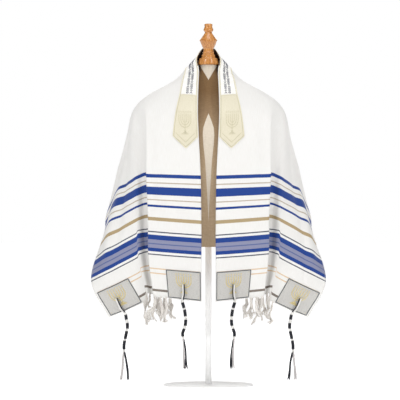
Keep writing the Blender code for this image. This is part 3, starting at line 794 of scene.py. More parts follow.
# %% Weave the shawl
ALONG_STOPS = (0.0, 0.250, 0.520, HALF_LENGTH)
ALONG_STEPS = (56, 46, 84)
ACROSS_STEPS = (18, 20, 8, 8, 18, 24, 18)


def both_halves(half):
    """Signed distances from one end of a strip, over the centre back, to its other end."""
    return np.concatenate([-half[:0:-1], half])


def lie_on_cloth(name, across, signed_along, material, thickness, lift=0.0, uv_origin=(0.0, 0.0)):
    """A sheet over a grid of places on the flat cloth; a minus distance is on the -X half."""
    rows, columns = across.shape
    across, signed = across.ravel(), np.broadcast_to(signed_along, across.shape).ravel()
    faces = grid_faces(rows, columns)
    if signed[-1] < signed[0]:
        faces = [face[::-1] for face in faces]
    uv = np.column_stack([across - uv_origin[0], np.abs(signed) - uv_origin[1]])
    piece = mesh_object(name, on_cloth(across, signed, lift), faces, [material], uv)
    thicken = piece.modifiers.new("thickness", "SOLIDIFY")
    thicken.thickness = thickness
    thicken.offset = 0.0
    return piece


def make_shawl():
    signed = both_halves(steps_through(ALONG_STOPS, ALONG_STEPS))
    across = [steps_through(lines, ACROSS_STEPS) for lines in lines_across(np.abs(signed)).T]
    return lie_on_cloth("shawl", np.array(across), signed[:, None], woven_cloth, CLOTH_WALL)


shawl = make_shawl()
print("shawl:", len(shawl.data.polygons), "faces")

# %% [markdown]
# ## Neck band and corner patches
# These are sewn flat on the shawl. They could be coloured areas of the cloth, but a sewn piece has an
# edge that catches light, so each is a sheet of its own, cut from the same surface and lifted by half
# of both walls and the thickness of a seam. The satin ends of the band come to a point.

# %% Band and patches
ON_TOP = CLOTH_WALL / 2 + SEAM_GAP + BAND_WALL / 2
BAND_MIDDLE = (PATCH_INSET + BAND_WIDTH) / 2
BAND_COLUMNS, BAND_ROWS, END_ROWS = 16, 56, 34
PATCH_COLUMNS, PATCH_ROWS = 30, 24
PATCH_LOW, PATCH_END = HALF_LENGTH - PATCH_INSET - PATCH_ALONG, HALF_LENGTH - PATCH_INSET
PATCH_STARTS = {"inner": PATCH_INSET, "outer": CLOTH_WIDTH - OUTER_PATCH_INSET - PATCH_ACROSS}


def band_edge(along):
    """The band's outer edge: narrowest at the back, widest where the satin's point begins."""
    runs = (BAND_BACK_RUN, BAND_CENTRE_RUN, BAND_SIDE_RUN)
    return np.interp(along, runs, (BAND_BACK_WIDTH, BAND_WAIST, BAND_WIDTH))


def make_neck_band():
    signed = both_halves(spread(0.0, BAND_CENTRE_RUN - SEAM_GAP / 2, BAND_ROWS))[:, None]
    across = PATCH_INSET + spread(0.0, 1.0, BAND_COLUMNS) * (band_edge(np.abs(signed)) - PATCH_INSET)
    return lie_on_cloth("atarah_band", across, signed, cotton, BAND_WALL, ON_TOP)


def band_tip(across):
    """How far along the pointed end of the band reaches at a distance across."""
    half = (BAND_WIDTH - PATCH_INSET) / 2
    return BAND_SIDE_RUN + (BAND_POINT_RUN - BAND_SIDE_RUN) * (1 - np.abs(across - BAND_MIDDLE) / half)


def make_band_end(side, sign):
    columns = spread(0.0, 1.0, BAND_COLUMNS)
    share = spread(0.0, 1.0, END_ROWS)[:, None]
    start = BAND_CENTRE_RUN + SEAM_GAP / 2
    along = start + (band_tip(PATCH_INSET + columns * (BAND_WIDTH - PATCH_INSET)) - start) * share
    across = PATCH_INSET + columns * (band_edge(along) - PATCH_INSET)
    return lie_on_cloth("atarah_end_%s" % side, across, sign * along, cream_satin, BAND_WALL, ON_TOP)


def make_patch(corner, side, sign):
    start = PATCH_STARTS[corner]
    across, along = np.meshgrid(spread(start, start + PATCH_ACROSS, PATCH_COLUMNS),
                                spread(PATCH_LOW, PATCH_END, PATCH_ROWS))
    return lie_on_cloth("patch_%s_%s" % (corner, side), across, sign * along, silver_satin, BAND_WALL,
                        ON_TOP, (start, PATCH_LOW))


SIDES = (("left", -1), ("right", 1))
CORNERS = ("inner", "outer")
neck_band = make_neck_band()
band_ends = {side: make_band_end(side, sign) for side, sign in SIDES}
patches = {(c, side): make_patch(c, side, sign) for side, sign in SIDES for c in CORNERS}
print("laid on the shawl:", 1 + len(band_ends) + len(patches), "pieces")

# %% [markdown]
# ## Embroidery
# Satin stitch stands up from the cloth as a rounded cord of thread. A painted pattern would look flat
# from the side, so a path on the flat cloth becomes a narrow ridge that follows the hanging surface:
# five points across it, high in the middle and sunk at both edges. The same function draws the
# lampstand, the borders and the band's pattern.

# %% Raised thread
ON_BAND = CLOTH_WALL / 2 + SEAM_GAP + BAND_WALL
RIDGE_PROFILE = np.array(((-0.5, -0.3), (-0.32, 0.75), (0.0, 1.0), (0.32, 0.75), (0.5, -0.3)))
Stitch = namedtuple("Stitch", "width height thread")
PATCH_MOTIF_STITCH = Stitch(0.0036, 0.0010, gold_thread)
PATCH_BORDER_STITCH = Stitch(0.0030, 0.0007, teal_thread)
PATCH_DOT_STITCH = Stitch(0.0020, 0.0006, gold_thread)
END_MOTIF_STITCH = Stitch(0.0018, 0.0006, olive_thread)
END_LINE_STITCH = Stitch(0.0014, 0.0005, olive_thread)
BAND_MARK_STITCH = Stitch(0.0024, 0.0008, navy_thread)
PIPING_CORD = Stitch(0.0030, 0.0012, cream_piping)
JOINT_CORD = Stitch(0.0016, 0.0005, cream_piping)


def run_along(points):
    """The distance along a line at each of its points."""
    return np.concatenate([[0.0], np.cumsum(np.linalg.norm(np.diff(points, axis=0), axis=1))])


def even_path(points, step):
    """The same line with evenly spaced points, and the distance of each."""
    points = np.asarray(points, float)
    run = run_along(points)
    t = spread(0.0, run[-1], max(2, round(run[-1] / step)))
    return np.column_stack([np.interp(t, run, column) for column in points.T]), t


def raised_thread(name, paths, sign, stitch, step=0.0025):
    """Ridges of thread along paths of (across, along) points."""
    aside, lift = RIDGE_PROFILE[:, 0] * stitch.width, ON_BAND + RIDGE_PROFILE[:, 1] * stitch.height
    points, faces, uv = [], [], []
    for path in paths:
        line, run = even_path(path, step)
        heading = np.gradient(line, axis=0)
        heading /= np.maximum(np.linalg.norm(heading, axis=1), 1e-9)[:, None]
        across = line[:, None, 0] + heading[:, None, 1] * aside
        along = line[:, None, 1] - heading[:, None, 0] * aside
        ridge = grid_faces(len(line), len(aside), start=sum(len(p) for p in points))
        points.append(on_cloth(across.ravel(), sign * along.ravel(), np.tile(lift, len(line))))
        faces += ridge if sign < 0 else [face[::-1] for face in ridge]
        uv.append(np.column_stack([np.repeat(run, len(aside)), np.tile(aside, len(line))]))
    return mesh_object(name, np.vstack(points), faces, [stitch.thread], np.vstack(uv))


# %% [markdown]
# The lampstand is a generic seven-branched one: a stem, three nested pairs of round arms, a flame on
# each and a stepped foot. It is drawn in a unit square and then placed and scaled on the cloth.

# %% The lampstand motif
ARM_PAIRS = 3
ARM_TOP, ARM_LEVEL, ARM_DEPTH = 0.36, 0.10, 0.34
FLAME_FROM, FLAME_TO = 0.41, 0.50
FOOT_LEVEL = -0.50
FOOT_STEPS = ((0.10, 0.10), (0.18, 0.04), (0.26, -0.02))


def lampstand(middle, size):
    """Paths of the motif on the flat cloth; middle and size are (across, along)."""
    half_turn = np.linspace(0.0, math.pi, 19)
    strokes = [[(0.0, FOOT_LEVEL), (0.0, ARM_TOP)]]
    for share in spread(0.0, 1.0, ARM_PAIRS)[1:]:
        arc = [(share / 2 * math.cos(t), ARM_LEVEL - ARM_DEPTH * share * math.sin(t)) for t in half_turn]
        strokes.append([(share / 2, ARM_TOP)] + arc + [(-share / 2, ARM_TOP)])
    strokes += [[(x, FLAME_FROM), (x, FLAME_TO)] for x in spread(-0.5, 0.5, 2 * ARM_PAIRS)]
    strokes += [[(-half, FOOT_LEVEL + rise), (half, FOOT_LEVEL + rise)] for half, rise in FOOT_STEPS]
    return [np.array(middle) + np.array(stroke) * (size[0], -size[1]) for stroke in strokes]


PATCH_MOTIF = (0.053, 0.062)
PATCH_MOTIF_RISE = 0.006
END_MOTIF = (0.043, 0.074)
END_MOTIF_ALONG = 0.346
BORDER_INSET = 0.0022
DOT_INSET = 0.009
DOT_LENGTH = 0.002
END_LINE_INSET = 0.0034
POINT_LINE_INSET = 0.010
POINT_LINE_SIDE_RUN = BAND_SIDE_RUN - 0.011
POINT_LINE_TIP_RUN = BAND_POINT_RUN - 0.019


def band_outline(inset):
    """The flat outline of half the band, in from its edge: outer side, point, neck side."""
    runs = (0.0, BAND_BACK_RUN, BAND_CENTRE_RUN, BAND_SIDE_RUN)
    outer = [(float(band_edge(run)) - inset, run) for run in runs]
    return outer + [(BAND_MIDDLE, BAND_POINT_RUN - inset * 1.3), (PATCH_INSET + inset, BAND_SIDE_RUN),
                    (PATCH_INSET + inset, 0.0)]


def patch_corners(corner, inset):
    """The corners of a patch, drawn in from its edge."""
    near, far = PATCH_STARTS[corner] + inset, PATCH_STARTS[corner] + PATCH_ACROSS - inset
    low, high = PATCH_LOW + inset, PATCH_END - inset
    return [(near, low), (far, low), (far, high), (near, high)]


def closed_path(corners):
    return corners + corners[:1]


def embroider_patch(corner, side, sign):
    """Gold lampstand, dark border and a dot in each corner."""
    middle = np.mean(patch_corners(corner, 0.0), axis=0) - (0.0, PATCH_MOTIF_RISE)
    border = closed_path(patch_corners(corner, BORDER_INSET))
    dots = [[(a - DOT_LENGTH / 2, s), (a + DOT_LENGTH / 2, s)] for a, s in patch_corners(corner, DOT_INSET)]
    drawn = (("lampstand", lampstand(middle, PATCH_MOTIF), PATCH_MOTIF_STITCH),
             ("border", [border], PATCH_BORDER_STITCH), ("corner_dots", dots, PATCH_DOT_STITCH))
    return [raised_thread("%s_%s_%s" % (what, corner, side), paths, sign, stitch)
            for what, paths, stitch in drawn]


def embroider_end(side, sign):
    """Pale lampstand, a stitched chevron above the point, and a line inside the whole edge."""
    motif = lampstand((BAND_MIDDLE, END_MOTIF_ALONG), END_MOTIF)
    chevron = [(BAND_WIDTH - POINT_LINE_INSET, POINT_LINE_SIDE_RUN), (BAND_MIDDLE, POINT_LINE_TIP_RUN),
               (PATCH_INSET + POINT_LINE_INSET, POINT_LINE_SIDE_RUN)]
    lines = [chevron, band_outline(END_LINE_INSET)]
    return [raised_thread("end_lampstand_%s" % side, motif, sign, END_MOTIF_STITCH),
            raised_thread("end_line_%s" % side, lines, sign, END_LINE_STITCH)]


embroidery = []
for side, sign in SIDES:
    embroidery += embroider_end(side, sign)
    for corner in CORNERS:
        embroidery += embroider_patch(corner, side, sign)
print("embroidered pieces:", len(embroidery))

# %% [markdown]
# The neck band carries two rows of plain geometric stitching in navy: lozenges, bars and chevrons in
# a fixed order. They stand where such bands often have a blessing, and are no letters.

# %% Pattern of the neck band
MARK_ACROSS = 0.0105
MARK_ALONG = 0.0058
MARK_STEP = 0.0082
ROW_SHARES = (0.36, 0.58)
BAND_PATTERN_END = 0.243
# Each mark as strokes of (across, along), in half sizes of the mark.
BAR_LEVEL, SHORT_BAR = 0.7, 0.4
LONG_BAR_STROKE = ((-1, -BAR_LEVEL), (1, -BAR_LEVEL))
MARKS = (
    (((-1, 0), (0, -1), (1, 0), (0, 1), (-1, 0)),),
    (LONG_BAR_STROKE, ((-1, BAR_LEVEL), (1, BAR_LEVEL))),
    (((-1, 1), (0, -1), (1, 1)),),
    (LONG_BAR_STROKE, ((-SHORT_BAR, BAR_LEVEL), (SHORT_BAR, BAR_LEVEL))),
)


def make_band_pattern(side, sign):
    paths = []
    for row, share in enumerate(ROW_SHARES):
        for k, along in enumerate(np.arange(MARK_STEP / 2, BAND_PATTERN_END, MARK_STEP)):
            across = PATCH_INSET + share * (float(band_edge(along)) - PATCH_INSET)
            for stroke in MARKS[(k * 3 + row * 2 + k // 4) % len(MARKS)]:
                paths.append([(across + x * MARK_ACROSS / 2, along + y * MARK_ALONG / 2) for x, y in stroke])
    return raised_thread("band_pattern_%s" % side, paths, sign, BAND_MARK_STITCH, step=0.0022)


embroidery += [make_band_pattern(side, sign) for side, sign in SIDES]
print("marks in each row:", math.ceil((BAND_PATTERN_END - MARK_STEP / 2) / MARK_STEP))

# %% [markdown]
# Piping is a thin cord sewn round the band's edge, and a narrower one covers the joint between the
# cotton and the satin. Both are the same kind of ridge as the embroidery.

# %% Piping round the neck band
PIPING_INSET = 0.0006


def make_piping(side, sign):
    joint = [(PATCH_INSET, BAND_CENTRE_RUN), (BAND_WAIST, BAND_CENTRE_RUN)]
    return [raised_thread("piping_%s" % side, [band_outline(PIPING_INSET)], sign, PIPING_CORD, step=0.004),
            raised_thread("satin_joint_%s" % side, [joint], sign, JOINT_CORD)]


for side, sign in SIDES:
    embroidery += make_piping(side, sign)
print("with piping:", len(embroidery))

# %% [markdown]
# ## One Geometry Nodes tree for everything that repeats along a line
# Stitches, cord windings and fringe tassels are all the same idea: take a path, mark it at even
# spacing and put a small piece at each mark. Some follow the path's direction, some hang upright with
# a little chance in their tilt, turn and size. An Array modifier could do the first kind and particles
# the second; one tree does both, with named sizes and a fixed seed, so each run gives the same result.

# %% The place-along tree
SWAYS_A_METRE = 34.0


def make_place_along():
    tree = bpy.data.node_groups.new("place_along", "GeometryNodeTree")
    sockets = (("Path", "Geometry"), ("Spacing", "Float"), ("Piece", "Object"), ("Follow path", "Bool"),
               ("Tilt", "Float"), ("Size spread", "Float"), ("Sway", "Float"), ("Seed", "Int"),
               ("Material", "Material"))
    for name, kind in sockets:
        tree.interface.new_socket(name=name, in_out="INPUT", socket_type="NodeSocket" + kind)
    tree.interface.new_socket(name="Placed", in_out="OUTPUT", socket_type="NodeSocketGeometry")
    given = add(tree, "NodeGroupInput", take=None).outputs
    tilt, seed, size_spread = given["Tilt"], given["Seed"], given["Size spread"]
    curve = add(tree, "GeometryNodeMeshToCurve", {"Mesh": given["Path"]})
    marks = add(tree, "GeometryNodeCurveToPoints", {"Curve": curve, "Length": given["Spacing"]}, take=None,
                mode="LENGTH").outputs
    source = add(tree, "GeometryNodeObjectInfo", {"Object": given["Piece"]}, take="Geometry")
    # Each copy is turned and sized by chance, unless it follows the path.
    lean = add(tree, "ShaderNodeMath", (tilt, -1.0), operation="MULTIPLY")
    low = add(tree, "ShaderNodeCombineXYZ", (lean, lean, -math.pi))
    high = add(tree, "ShaderNodeCombineXYZ", (tilt, tilt, math.pi))
    chance = add(tree, "FunctionNodeRandomValue", {0: low, 1: high, "Seed": seed}, data_type="FLOAT_VECTOR")
    turned_by = add(tree, "FunctionNodeEulerToRotation", {"Euler": chance})
    facing = add(tree, "GeometryNodeSwitch", {"Switch": given["Follow path"], "False": turned_by,
                                              "True": marks["Rotation"]}, take="Output",
                 input_type="ROTATION")
    smallest = add(tree, "ShaderNodeMath", (1.0, size_spread), operation="SUBTRACT")
    largest = add(tree, "ShaderNodeMath", (1.0, size_spread), operation="ADD")
    size = add(tree, "FunctionNodeRandomValue", {2: smallest, 3: largest, "Seed": seed}, take=1,
               data_type="FLOAT")
    copies = add(tree, "GeometryNodeInstanceOnPoints", {"Points": marks["Points"], "Instance": source,
                                                        "Rotation": facing, "Scale": size})
    real = add(tree, "GeometryNodeRealizeInstances", {"Geometry": copies})
    # Limp pieces sway: each point moves by a slow noise, more towards its piece's free end.
    here = add(tree, "GeometryNodeInputPosition")
    slack = add(tree, "GeometryNodeInputNamedAttribute", {"Name": "slack"}, take="Attribute",
                data_type="FLOAT")
    waves = add(tree, "ShaderNodeTexNoise", {"Vector": here, "Scale": SWAYS_A_METRE, "Detail": 0.0},
                take="Color")
    centred = add(tree, "ShaderNodeVectorMath", (waves, (0.5, 0.5, 0.5)), operation="SUBTRACT")
    amount = add(tree, "ShaderNodeMath", (slack, given["Sway"]), operation="MULTIPLY")
    offset = add(tree, "ShaderNodeVectorMath", {0: centred, "Scale": amount}, operation="SCALE")
    swayed = add(tree, "GeometryNodeSetPosition", {"Geometry": real, "Offset": offset})
    dyed = add(tree, "GeometryNodeSetMaterial", {"Geometry": swayed, "Material": given["Material"]})
    add(tree, "NodeGroupOutput", {"Placed": dyed}, take=None)
    return tree


place_along = make_place_along()


def repeat_along(name, paths, piece, material, **amounts):
    """Runs the tree over some paths of points and keeps the result as a plain mesh."""
    points, edges = [], []
    for path in paths:
        edges += [(len(points) + i, len(points) + i + 1) for i in range(len(path) - 1)]
        points += [tuple(p) for p in path]
    carrier_mesh = bpy.data.meshes.new(name + "_path")
    carrier_mesh.from_pydata(points, edges, [])
    carrier = link(bpy.data.objects.new(name + "_path", carrier_mesh))
    modifier = carrier.modifiers.new("place_along", "NODES")
    modifier.node_group = place_along
    values = {"Piece": piece, "Material": material, "Follow path": True, "Tilt": 0.0, "Size spread": 0.0,
              "Sway": 0.0, "Seed": 1}
    values.update({socket.replace("_", " ").capitalize(): value for socket, value in amounts.items()})
    for item in place_along.interface.items_tree:
        if item.in_out == "INPUT" and item.name in values:
            modifier[item.identifier] = values[item.name]
    evaluated = carrier.evaluated_get(bpy.context.evaluated_depsgraph_get())
    mesh = bpy.data.meshes.new_from_object(evaluated)
    mesh.name = name
    mesh.shade_smooth()
    bpy.data.objects.remove(carrier)
    return link(bpy.data.objects.new(name, mesh))


print("place_along:", len(place_along.nodes), "nodes")

# %% [markdown]
# ## Seam stitches
# A machine stitch is a short round thread that dips in at both ends. One such stitch, 2.4 mm long, is
# repeated round each patch, along the band, over the fringe and down the outer edge.

# %% Stitches
FRINGE_FROM, FRINGE_TO = 0.136, 0.420
STITCH_LENGTH = 0.0024
STITCH_GAP = 0.0014
STITCH_RADIUS = 0.00035
STITCH_INSET = 0.0048
HEM_INSET = 0.007
EDGE_INSET = 0.006
SEAM_LIFT = ON_BAND + 0.0001
HEM_LIFT = CLOTH_WALL / 2 + 0.0002


def beside_path(path):
    """Two directions square to a path, and to each other, at each of its points."""
    heading = np.gradient(path, axis=0)
    heading /= np.maximum(np.linalg.norm(heading, axis=1), 1e-12)[:, None]
    aside = np.cross(heading, (0.0, 1.0, 0.0))
    weak = np.linalg.norm(aside, axis=1) < 0.3
    aside[weak] = np.cross(heading[weak], (1.0, 0.0, 0.0))
    aside /= np.linalg.norm(aside, axis=1)[:, None]
    return aside, np.cross(aside, heading)


def tube_points(path, radius, sides, taper):
    """Rings of points round a path, ring after ring; taper scales the radius by the share of the run."""
    aside, up = beside_path(path)
    turn = np.arange(sides) * math.tau / sides
    spoke = aside[:, None] * np.cos(turn)[None, :, None] + up[:, None] * np.sin(turn)[None, :, None]
    size = radius * taper(np.linspace(0.0, 1.0, len(path)))
    return (path[:, None] + spoke * size[:, None, None]).reshape(-1, 3)


def tube_object(name, paths, radius, material, sides=8, taper=np.ones_like):
    """Closed tubes along several paths, as one mesh with a UV map in metres."""
    points, faces, uv = [], [], []
    for path in paths:
        tube_faces = capped_faces(len(path), sides, start=sum(len(p) for p in points))
        faces += [face[::-1] for face in tube_faces]
        points.append(tube_points(path, radius, sides, taper))
        girth = np.arange(sides) * radius * 0.8
        uv.append(np.column_stack([np.repeat(run_along(path), sides), np.tile(girth, len(path))]))
    piece = mesh_object(name, np.vstack(points), faces, [material], np.vstack(uv))
    clean = bmesh.new()
    clean.from_mesh(piece.data)
    bmesh.ops.recalc_face_normals(clean, faces=clean.faces)
    clean.to_mesh(piece.data)
    clean.free()
    return piece


def make_stitch():
    z = np.linspace(-STITCH_LENGTH / 2, STITCH_LENGTH / 2, 5)
    path = np.column_stack([np.zeros(5), np.zeros(5), z])
    return tube_object("one_stitch", [path], STITCH_RADIUS, seam_thread, sides=5,
                       taper=lambda t: np.sqrt(np.clip(1.15 - (2 * t - 1) ** 2, 0.15, 1)))


def cloth_path(flat_path, sign, lift, step=0.004):
    line, _ = even_path(flat_path, step)
    return on_cloth(line[:, 0], sign * line[:, 1], lift)


def make_stitching(side, sign, stitch):
    """Every row of stitches on one half of the shawl."""
    seams = [closed_path(patch_corners(corner, STITCH_INSET)) for corner in CORNERS]
    seams.append(band_outline(STITCH_INSET))
    hems = [[(FRINGE_FROM, HALF_LENGTH - HEM_INSET), (FRINGE_TO, HALF_LENGTH - HEM_INSET)],
            [(CLOTH_WIDTH - EDGE_INSET, 0.0), (CLOTH_WIDTH - EDGE_INSET, PATCH_LOW - 0.002)]]
    rows = [cloth_path(seam, sign, SEAM_LIFT) for seam in seams]
    rows += [cloth_path(hem, sign, HEM_LIFT) for hem in hems]
    return repeat_along("stitching_%s" % side, rows, stitch, seam_thread, spacing=STITCH_LENGTH + STITCH_GAP)


one_stitch = make_stitch()
stitching = [make_stitching(side, sign, one_stitch) for side, sign in SIDES]
bpy.data.objects.remove(one_stitch)
print("stitching:", sum(len(piece.data.polygons) for piece in stitching), "faces")

# %% [markdown]
# ## The knotted fringe
# Each tassel is yarn drawn through the hem: two leads down to a knot, three strands twisted together
# below it, and frayed wool at the tip. Hair would be lighter, but yarn this thick shows its twist, so
# one tassel is built of tubes. The tree hangs it along the hem, each copy turned, tilted, swayed and
# sized a little by chance.

# %% Fringe
TASSEL_LENGTH = 0.070
TASSEL_SPACING = 0.0165
TASSEL_TILT = 0.20
TASSEL_SPREAD = 0.12
TASSEL_SWAY = 0.055
YARN_RADIUS = 0.0021
TWISTED_STRANDS = 3
KNOT_LEVEL = -0.012
KNOT_REACH = 0.0027
KNOT_TURNS = 1.6
FRAY_RADIUS = 0.0007
FRAY_ENDS = 6
FRAY_TURN = 1.1


def merged(name, pieces):
    """One object from several, each face keeping its material; the originals are removed."""
    joined = bmesh.new()
    materials = []
    for piece in pieces:
        first = len(joined.faces)
        joined.from_mesh(piece.data)
        joined.faces.ensure_lookup_table()
        table = []
        for material in piece.data.materials:
            if material not in materials:
                materials.append(material)
            table.append(materials.index(material))
        for face in joined.faces[first:]:
            face.material_index = table[face.material_index]
    mesh = bpy.data.meshes.new(name)
    joined.to_mesh(mesh)
    joined.free()
    for material in materials:
        mesh.materials.append(material)
    for piece in pieces:
        bpy.data.objects.remove(piece)
    return link(bpy.data.objects.new(name, mesh))


def tassel_strand(phase, radius, twist, top, bottom, flare=0.0):
    """A strand that winds round the tassel's axis and spreads at its end."""
    z = np.linspace(top, bottom, 26)
    share = (top - z) / (top - bottom)
    reach = radius * (1 + flare * share ** 3)
    angle = phase + twist * share
    return np.column_stack([reach * np.cos(angle), reach * np.sin(angle), z])


def fray(k):
    """One loose end of wool at the tip, bent outwards, in one of three lengths."""
    heading = np.array((math.cos(k * FRAY_TURN), math.sin(k * FRAY_TURN)))
    reaches = ((0.0020, 0.010), (0.0030, 0.004), (0.0044, -0.001 * (k % 3)))
    return np.array([(*(heading * out), drop - TASSEL_LENGTH) for out, drop in reaches])


def make_tassel():
    strands = [tassel_strand(k * math.tau / TWISTED_STRANDS, 0.0021, 5.0, KNOT_LEVEL,
                             0.004 * k - TASSEL_LENGTH, 0.6) for k in range(TWISTED_STRANDS)]
    leads = [tassel_strand(k * math.pi, 0.0019, 1.0, 0.003, KNOT_LEVEL) for k in (0, 1)]
    turn = np.linspace(0.0, math.tau * KNOT_TURNS, 22)
    knot = np.column_stack([KNOT_REACH * np.cos(turn), KNOT_REACH * np.sin(turn),
                            KNOT_LEVEL + 0.0022 * np.sin(turn * 0.9)])
    thick = tube_object("tassel_strands", strands + leads + [knot], YARN_RADIUS, fringe_yarn, sides=6)
    thin = tube_object("tassel_fray", [fray(k) for k in range(FRAY_ENDS)], FRAY_RADIUS, fringe_yarn, sides=4)
    tassel = merged("one_tassel", [thick, thin])
    heights = np.array([vertex.co.z for vertex in tassel.data.vertices])
    slack = tassel.data.attributes.new("slack", "FLOAT", "POINT")
    looseness = ease((KNOT_LEVEL - heights) / (TASSEL_LENGTH + KNOT_LEVEL))
    slack.data.foreach_set("value", looseness.astype(np.float32))
    return tassel


def make_fringe(side, sign, tassel, seed):
    under_hem = HALF_LENGTH - 0.001
    hem = cloth_path([(FRINGE_FROM, under_hem), (FRINGE_TO, under_hem)], sign, 0.0)
    return repeat_along("fringe_%s_tassels" % side, [hem], tassel, fringe_yarn, spacing=TASSEL_SPACING,
                        follow_path=False, tilt=TASSEL_TILT, size_spread=TASSEL_SPREAD, sway=TASSEL_SWAY,
                        seed=seed)


one_tassel = make_tassel()
fringes = {side: make_fringe(side, sign, one_tassel, 4 + sign) for side, sign in SIDES}
bpy.data.objects.remove(one_tassel)
print("fringe:", sum(len(piece.data.polygons) for piece in fringes.values()), "faces")

# %% [markdown]
# ## The corner cords
# A tzitzit is eight strands pulled through the hole in the patch. They lie together over the satin,
# are wound with the dark strand in four stretches, each after a white double knot, and then hang
# free. One thick tube would do from afar, but the dark and white thread show, so each strand follows
# the centre line by itself. That line repeats the frame's own route, point for point, in millimetres
# from the middle and over the floor; the windings are given by their heights.

# %% Routes of the cords
CordRoute = namedtuple("CordRoute", "across along hanging windings")
CORD_ROUTES = {
    "inner": CordRoute((0.066, 0.067), (0.878, 0.912),
                       ((86, 288), (82, 273), (77, 251), (75, 219), (80, 198), (85, 183),
                        (82, 164), (78, 128), (76, 68)),
                       ((285, 267), (262, 240), (228, 209), (199, 174))),
    "outer": CordRoute((0.498, 0.502), (0.878, 0.912),
                       ((274, 244), (271, 230), (267, 204), (272, 175), (278, 145), (278, 120),
                        (276, 84), (276, 28)),
                       ((241, 226), (215, 196), (187, 163), (156, 128))),
}
# The solid cord's own stand-off over its patch, and over the solid cloth's half wall.
CORD_STAND_OFF = 0.0072
SOLID_HALF_WALL = 0.001
HANGS_CLEAR = 0.001
CORD_STEP = 0.0015


def cord_line(corner, sign):
    """Evenly spaced centre line from the hole to the free end, and the distance of each point."""
    route = CORD_ROUTES[corner]
    lift = SOLID_HALF_WALL + SEAM_GAP + BAND_WALL + CORD_STAND_OFF
    points = on_cloth(route.across, sign * np.array(route.along), lift)
    front = points[:, 1].min() - HANGS_CLEAR
    points = np.vstack([points, [(sign * x * MM, front, z * MM) for x, z in route.hanging]])
    knots = run_along(points)
    line = smooth_line(knots, points, np.linspace(0.0, knots[-1], round(knots[-1] / CORD_STEP)))
    return line, run_along(line)


def around(line, run, reach, phase, turns_a_metre=0.0):
    """A strand wound round a centre line at its own reach from it."""
    aside, up = beside_path(line)
    angle = (phase + run * turns_a_metre * math.tau)[:, None]
    return line + reach * (aside * np.cos(angle) + up * np.sin(angle))


def between(line, run, low, high):
    """The stretch of a line between two distances along it."""
    chosen = (run >= low) & (run <= high)
    return line[chosen], run[chosen]


# %% [markdown]
# A winding is one ring of thread, repeated at the thread's own thickness by the same tree. A knot is
# two strands wound steeply round the core. The loose ends fan out a little, and none is the same
# length as the next.

# %% Make the cords
RING_SEGMENTS, RING_SIDES = 16, 6
RING_REACH, RING_THREAD = 0.0046, 0.0010
RING_SPACING = 0.0018
LEAD_REACH, LEAD_WHITE, LEAD_DARK = 0.0027, 0.0026, 0.0020
LEAD_TURN = 0.7
CORE_RADIUS = 0.0037
Knot = namedtuple("Knot", "reach radius turns_a_metre")
DOUBLE_KNOT = Knot(0.0034, 0.0026, 130.0)
END_KNOT = Knot(0.0031, 0.0024, 120.0)
KNOT_LENGTH = 0.009
LooseEnds = namedtuple("LooseEnds", "white dark spread")
LOOSE_ENDS = {"inner": LooseEnds(0.0030, -0.0026, 0.0030), "outer": LooseEnds(0.0115, -0.0115, 0.0014)}
LOOSE_WHITE, LOOSE_DARK = 0.0023, 0.0018
STRANDS_A_COLOUR = 4


def make_ring():
    """One turn of a winding: a closed ring of thread round Z."""
    turn = np.arange(RING_SEGMENTS) * math.tau / RING_SEGMENTS
    round_it = np.arange(RING_SIDES) * math.tau / RING_SIDES
    radius = RING_REACH + RING_THREAD * np.cos(round_it)[None, :]
    x, y = radius * np.cos(turn)[:, None], radius * np.sin(turn)[:, None]
    z = np.broadcast_to(RING_THREAD * np.sin(round_it)[None, :], x.shape)
    points = np.stack([x, y, z], axis=2).reshape(-1, 3)
    faces = []
    for r in range(RING_SEGMENTS):
        for c in range(RING_SIDES):
            n, m = (r + 1) % RING_SEGMENTS, (c + 1) % RING_SIDES
            faces.append((r * RING_SIDES + c, n * RING_SIDES + c, n * RING_SIDES + m, r * RING_SIDES + m))
    uv = np.column_stack([np.repeat(turn * RING_REACH, RING_SIDES),
                          np.tile(round_it * RING_THREAD, RING_SEGMENTS)])
    return mesh_object("one_ring", points, faces, [black_cord], uv)


def knot_strands(line, run, low, high, knot):
    """The two strands of a knot round one stretch of the cord."""
    body, body_run = between(line, run, low, high)
    return [around(body, body_run, knot.reach, phase, knot.turns_a_metre) for phase in (0.0, math.pi)]


def make_loose_ends(name, corner, line, run, start, sign):
    """Free strands under the last knot: the white ones hang outwards, the dark ones inwards."""
    body, body_run = between(line, run, start - 0.004, run[-1])
    share = (body_run - body_run[0]) / (body_run[-1] - body_run[0])
    ends = LOOSE_ENDS[corner]
    pieces = []
    for colour, material, out, radius in (("white", shaded_white_ends, ends.white, LOOSE_WHITE),
                                          ("dark", black_cord, ends.dark, LOOSE_DARK)):
        strands = []
        for k in range(STRANDS_A_COLOUR):
            place = (k + 0.5) / STRANDS_A_COLOUR * 2 - 1
            aside = sign * (out * share ** 0.7 + place * (0.0018 + ends.spread * share))
            aside = aside + 0.0010 * np.sin(share * 8 + k * 1.7 + out * 300) * share
            depth = 0.0016 * math.sin(k * 2.4 + out * 300) + 0.0010 * np.cos(share * 7 + k)
            keep = share <= 1.0 - 0.045 * (k % 3)
            strand = body + np.column_stack([aside, depth, np.zeros_like(share)])
            strands.append(strand[keep])
        pieces.append(tube_object("loose_%s_%s" % (colour, name), strands, radius, material, sides=6))
    return pieces


